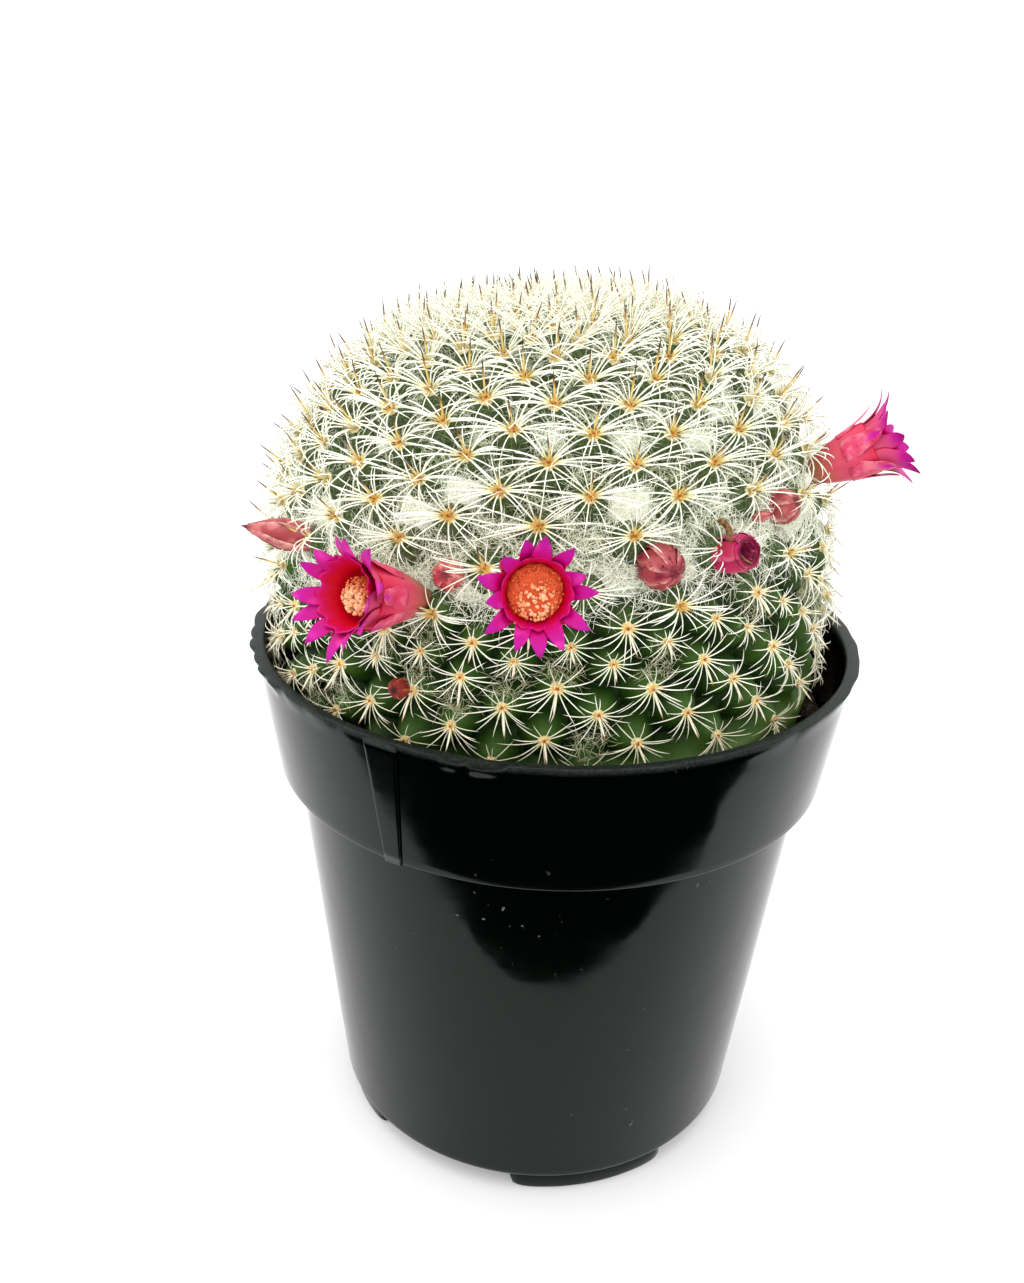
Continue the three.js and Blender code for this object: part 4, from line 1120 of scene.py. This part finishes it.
# Profiles turned about the axis, as heights and radii.
BUD = [[-3, 0.3], [-2, 1.5], [1, 2.2], [3.6, 2.35], [6.2, 1.6], [8.5, 0.6], [9.8, 0.05]]
BALL = [[-3, 0.3], [-2, 1.5], [0.5, 3], [2.6, 3.3], [4.4, 2.7], [5.5, 1.4], [5.9, 0.1]]
CUP = [[-3, 0.3], [-2, 1.4], [1, 2.6], [4, 2.9], [6, 2.7], [6.7, 1.9], [5.6, 1.1], [4.4, 0.2]]
KNOB = [[-2.4, 0.3], [-1.8, 1.4], [0.4, 2.5], [2.4, 2.5], [3.8, 1.4], [3.6, 0.2]]
# Name, azimuth and height on the stem, the azimuth and the rise it faces, profile, folds, size, how far it
# is sunk, how crumpled it is, and its tone.
CLOSED = [
    ("bud_left", -56.7, 119.8, -84, 12, BUD, 5, 1.0, 0.5, 0.04, "rose"),
    ("withered_flower_1", -19.7, 121.1, -14, 22, KNOB, 6, 0.9, 2.8, 0.08, "striped"),
    ("withered_flower_2", 18.6, 123, 30, 6, BALL, 7, 0.96, 2.0, 0.17, "glossy"),
    ("withered_flower_3", 33.1, 123.2, 34, 22, CUP, 6, 0.95, 2.0, 0.08, "bright"),
    ("withered_flower_4", 52, 127.1, 55, 30, KNOB, 6, 1.0, 2.0, 0.08, "rose"),
    ("bud_small", 41.7, 127, 40, 25, BUD, 5, 0.32, 0.0, 0.05, "rose"),
    ("dried_fruit", -27.3, 102.9, -28, 8, KNOB, 5, 0.62, 0.0, 0.1, "dark"),
]
SLOTS = {"bud_left": "flower_tube", "bud_small": "flower_tube", "dried_fruit": "dried_fruit"}
# Roughness, then the colours of the painted shade in the hollows, the skin, its other patches and the
# margins, whose pale flecks are partly lighter petal edges and partly painted highlight.
TONES = {
    "rose": (0.42, (0.15, 0.015, 0.02), (0.5, 0.12, 0.12), (0.34, 0.04, 0.05), (0.78, 0.42, 0.36)),
    "striped": (0.5, (0.2, 0.015, 0.02), (0.42, 0.03, 0.05), (0.6, 0.18, 0.15), (0.85, 0.45, 0.38)),
    "glossy": (0.26, (0.2, 0.015, 0.03), (0.33, 0.04, 0.055), (0.2, 0.01, 0.028), (0.7, 0.32, 0.26)),
    "bright": (0.42, (0.16, 0.002, 0.03), (0.5, 0.006, 0.11), (0.4, 0.01, 0.06), (0.7, 0.14, 0.26)),
    "dark": (0.7, (0.04, 0.006, 0.004), (0.2, 0.01, 0.005), (0.12, 0.008, 0.004), (0.42, 0.12, 0.03)),
}
CORE_SHARE, CORE_COLUMNS = 0.86, 48
PETAL_RINGS, PETAL_COLUMNS = 22, 12
PETAL_THICKNESS = 0.18
PETAL_HALF = 226.2  # half of a folded tepal's width in degrees, times the number of tepals
# The dead tepal hangs from the magenta cup: its place out of the stem, up and aside, the way it points in
# the same directions, its length and its width.
DEAD_TEPAL_ON = "withered_flower_3"
DEAD_TEPAL_PLACE, DEAD_TEPAL_WAY = [4.9, 5.2, -3.3], [0.05, -1, 0.42]
DEAD_TEPAL_LENGTH, DEAD_TEPAL_WIDTH = 8.0, 0.95


def smoothed(profile, longest):
    """A closed flower's profile with its corners rounded, and with steps no longer than the longest."""
    return refined(rounded(np.column_stack([profile, np.full(len(profile), 0.9)]), 3), longest)


def crumpled(profile, folds, depth, rng):
    """A profile turned about its axis, with its radius multiplied by 1 - depth * fold, where the folds twist
    on the way up and are broken by two finer waves."""
    rows = smoothed(profile, 0.35)
    height, radius = rows[:, :1], rows[:, 1:]
    angle = circle(CORE_COLUMNS)
    turn = np.radians(angle)
    phase = rng.uniform(0, 6, 3)
    fold = 1 - 2 * np.abs(np.sin(folds / 2 * turn + 0.35 * height + phase[0])) ** 0.7
    fine = np.sin(11 * turn - 1.1 * height + phase[1]) * np.sin(2.2 * height + 3 * turn + phase[2])
    radius = CORE_SHARE * radius * (1 - depth * fold + 0.45 * depth * fine)
    return closed(about_axis(radius, angle, height + 0.6 * depth * fine))


def wrapped(profile, count, depth, rng):
    """Tepals folded round a turned profile. At share t of the profile's length and share s across, from -1
    to 1, a tepal lies at its own angle + PETAL_HALF / count * s + 30 t**2 degrees, and at the profile's
    radius * (1 + 0.09 s * (1 - t**3)), so that one margin laps over the next tepal. Waves of the crumpling's
    depth run along it. Also returns the share t and how near each point is to the upper margin."""
    rows = smoothed(profile, 0.2)
    t = np.linspace(0.12, 0.93, PETAL_RINGS)[:, None]
    height, radius = (np.interp(t, np.linspace(0, 1, len(rows)), column) for column in rows.T)
    angle = np.radians(circle(PETAL_COLUMNS))
    s = np.cos(angle)
    first = (circle(count) + rng.uniform(-9, 9, count))[:, None, None]
    phase = rng.uniform(0, 6, (count, 1, 1))
    turn = first + PETAL_HALF / count * s + 30 * t**2
    wave = np.sin(5 * s + 2.4 * height + phase) + 0.7 * np.sin(3.6 * height - 4 * s + 2 * phase)
    lapped = radius * (1 + 0.09 * s * (1 - t**3)) + PETAL_THICKNESS / 2 * np.sin(angle)
    points = about_axis(lapped + 0.8 * depth * wave, turn, height)
    shape = points.shape[:-1]
    return closed(points), ringed_values(t, shape, 0, 1), ringed_values(np.clip(s, 0, 1) ** 3, shape, 0, 0)


def spent_material(name, roughness, hollow, skin, patch, margin):
    """Dried petals: skin and patches, pale flecks towards each margin that are partly lighter petal edges
    and partly painted highlight, and painted shade in the hollows at the folded ends and over the core."""
    made, shader = new_material(f"{name} closed flower", Roughness=roughness, Specular_IOR_Level=0.35)
    mottle = noise(made, 900, 3, 0.6)
    patches = levels(made, noise(made, 300, 1), 0, 1, 0.47, 0.56)
    # Pale flecks towards the upper margins: partly lighter petal edges, partly painted highlight.
    flecks = combined(made, "MULTIPLY", carried(made, "margin"), levels(made, mottle, 0.0, 1.2, 0.35, 0.6))
    colour = mixed(made, flecks, mixed(made, patches, (*skin, 1), (*patch, 1)), (*margin, 1))
    # The folded ends and the core take the first, dark colour: painted shade in the hollows.
    folded = levels(made, carried(made, "along"), 0, 1, 0.86, 0.97)
    feed(made, shader, mixed(made, folded, colour, (*hollow, 1)), None, mottle, 0.0003, 0.6)
    return made


spent = {tone: spent_material(tone, *looks) for tone, looks in TONES.items()}
for number, row in enumerate(CLOSED):
    name, azimuth, height, faces_to, rise, profile, folds, size, sunk, depth, tone = row
    rng = np.random.default_rng(40 + number)
    stand = standing(azimuth, height, faces_to, rise, size, sunk)
    core = crumpled(profile, folds, depth, rng)
    tepals, along, margin = wrapped(profile, folds, depth, rng)
    along = np.concatenate([np.ones(len(core[0])), along])
    margin = np.concatenate([np.zeros(len(core[0])), margin])
    shape = *joined(core, tepals), {"along": along, "margin": margin}
    set_on_stem(name + "_skin", stand, shape, spent[tone], SLOTS.get(name, "withered_flower"), name)
    if name == DEAD_TEPAL_ON:
        hangs = np.array([heading(faces_to, rise), heading(faces_to, rise + 90), heading(faces_to + 90)])
        start = stand[0] + DEAD_TEPAL_PLACE @ hangs

brown, shader = new_material("dead brown tepal", Roughness=0.8, Specular_IOR_Level=0.15)
colour = ramp(brown, noise(brown, 1800, 2), [(0.35, (0.08, 0.04, 0.014)), (0.65, (0.32, 0.19, 0.08))])
feed(brown, shader, colour)
points, faces = strands(
    start[None], unit(DEAD_TEPAL_WAY @ hangs)[None], 0.12 * hangs[:1], np.array([DEAD_TEPAL_LENGTH]),
    np.array([DEAD_TEPAL_WIDTH]), 14, 0.06, 6
)[:2]
finish_piece(mesh_object("dead_tepal", points, faces), brown, "withered_flower")

# ---- Floor, light and camera ----
# A white sweep in an even white light, with a soft lamp overhead. The camera looks down on the front. A dark
# card lies before the white, out of view, and shows only as the black shape mirrored in the pot.

CAMERA_PLACE = np.array([-7.48, -204.33, 182.42])
CAMERA_LOOKS_AT = np.array([-7.48, 0, 92.2])
CAMERA_ROLL, CAMERA_LENS, CAMERA_SENSOR = 1.84, 34.81, 36.0
FLOOR_SIDE = 9000.0
CARD_SIDE, CARD_NEAR, CARD_HEIGHT = 900, -1200, 0.5
# The card's edge towards the pot, from left to right.
CARD_EDGE = [
    (-900, 40), (-150, -45), (-97, -77), (-60, -85), (40, -83), (78, -77), (88, -71), (97, -68), (108, -67),
    (115, -69), (126, -64), (137, -57), (149, -44), (165, -35), (900, 40),
]
LAMP_PLACE, LAMP_LOOKS_AT = np.array([-150.0, -120.0, 520.0]), np.array([0, 0, 100.0])
LAMP_ACROSS, LAMP_WATTS = 0.85, 1.3
ROOM_LIGHT = 1.5


def flat(name, corners, material):
    """One flat face in the frame, for the set round the object."""
    mesh = bpy.data.meshes.new(name)
    mesh.from_pydata((np.array(corners) * MM + pot_axis).tolist(), [], [tuple(range(len(corners)))])
    made = bpy.data.objects.new(name, mesh)
    made.data.materials.append(material)
    bpy.context.scene.collection.objects.link(made)
    return made


def placed(name, data, place, looks_at, roll=0.0):
    """A lamp or a camera at a place, turned to look at a point and rolled by an angle in degrees."""
    made = bpy.data.objects.new(name, data)
    made.location = Vector(place * MM + pot_axis)
    aim = Vector((looks_at - place) * MM).to_track_quat("-Z", "Y").to_matrix()
    made.rotation_euler = (aim @ Matrix.Rotation(np.radians(roll), 3, "Z")).to_euler()
    bpy.context.scene.collection.objects.link(made)
    return made


paper, _ = new_material(
    "white sweep", Base_Color=(0.78, 0.78, 0.775, 1), Roughness=0.9, Specular_IOR_Level=0.0,
    Emission_Color=(1, 1, 0.99, 1), Emission_Strength=0.14,
)
card_paint, _ = new_material(
    "dark card", Base_Color=(0.003, 0.003, 0.003, 1), Roughness=1.0, Specular_IOR_Level=0.0
)
half = FLOOR_SIDE / 2
flat("floor", [(-half, -half, 0), (half, -half, 0), (half, half, 0), (-half, half, 0)], paper)
outline = [(-CARD_SIDE, CARD_NEAR), (CARD_SIDE, CARD_NEAR), *CARD_EDGE[::-1]]
card = flat("card", [(x, y, CARD_HEIGHT) for x, y in outline], card_paint)
card.visible_camera = card.visible_diffuse = card.visible_shadow = card.visible_transmission = False

world = bpy.data.worlds.new("white room")
world.use_nodes = True
world.node_tree.nodes["Background"].inputs["Color"].default_value = (1, 1, 1, 1)
world.node_tree.nodes["Background"].inputs["Strength"].default_value = ROOM_LIGHT
bpy.context.scene.world = world
lamp_data = bpy.data.lights.new("softbox", "AREA")
lamp_data.shape = "DISK"
lamp_data.size = LAMP_ACROSS
lamp_data.energy = LAMP_WATTS
placed("softbox", lamp_data, LAMP_PLACE, LAMP_LOOKS_AT)

camera_data = bpy.data.cameras.new("camera")
camera_data.lens = CAMERA_LENS
camera_data.sensor_width = CAMERA_SENSOR
camera_data.clip_start = 0.01
camera = placed("camera", camera_data, CAMERA_PLACE, CAMERA_LOOKS_AT, CAMERA_ROLL)
bpy.context.scene.camera = camera
bpy.context.scene.view_settings.view_transform = "Standard"
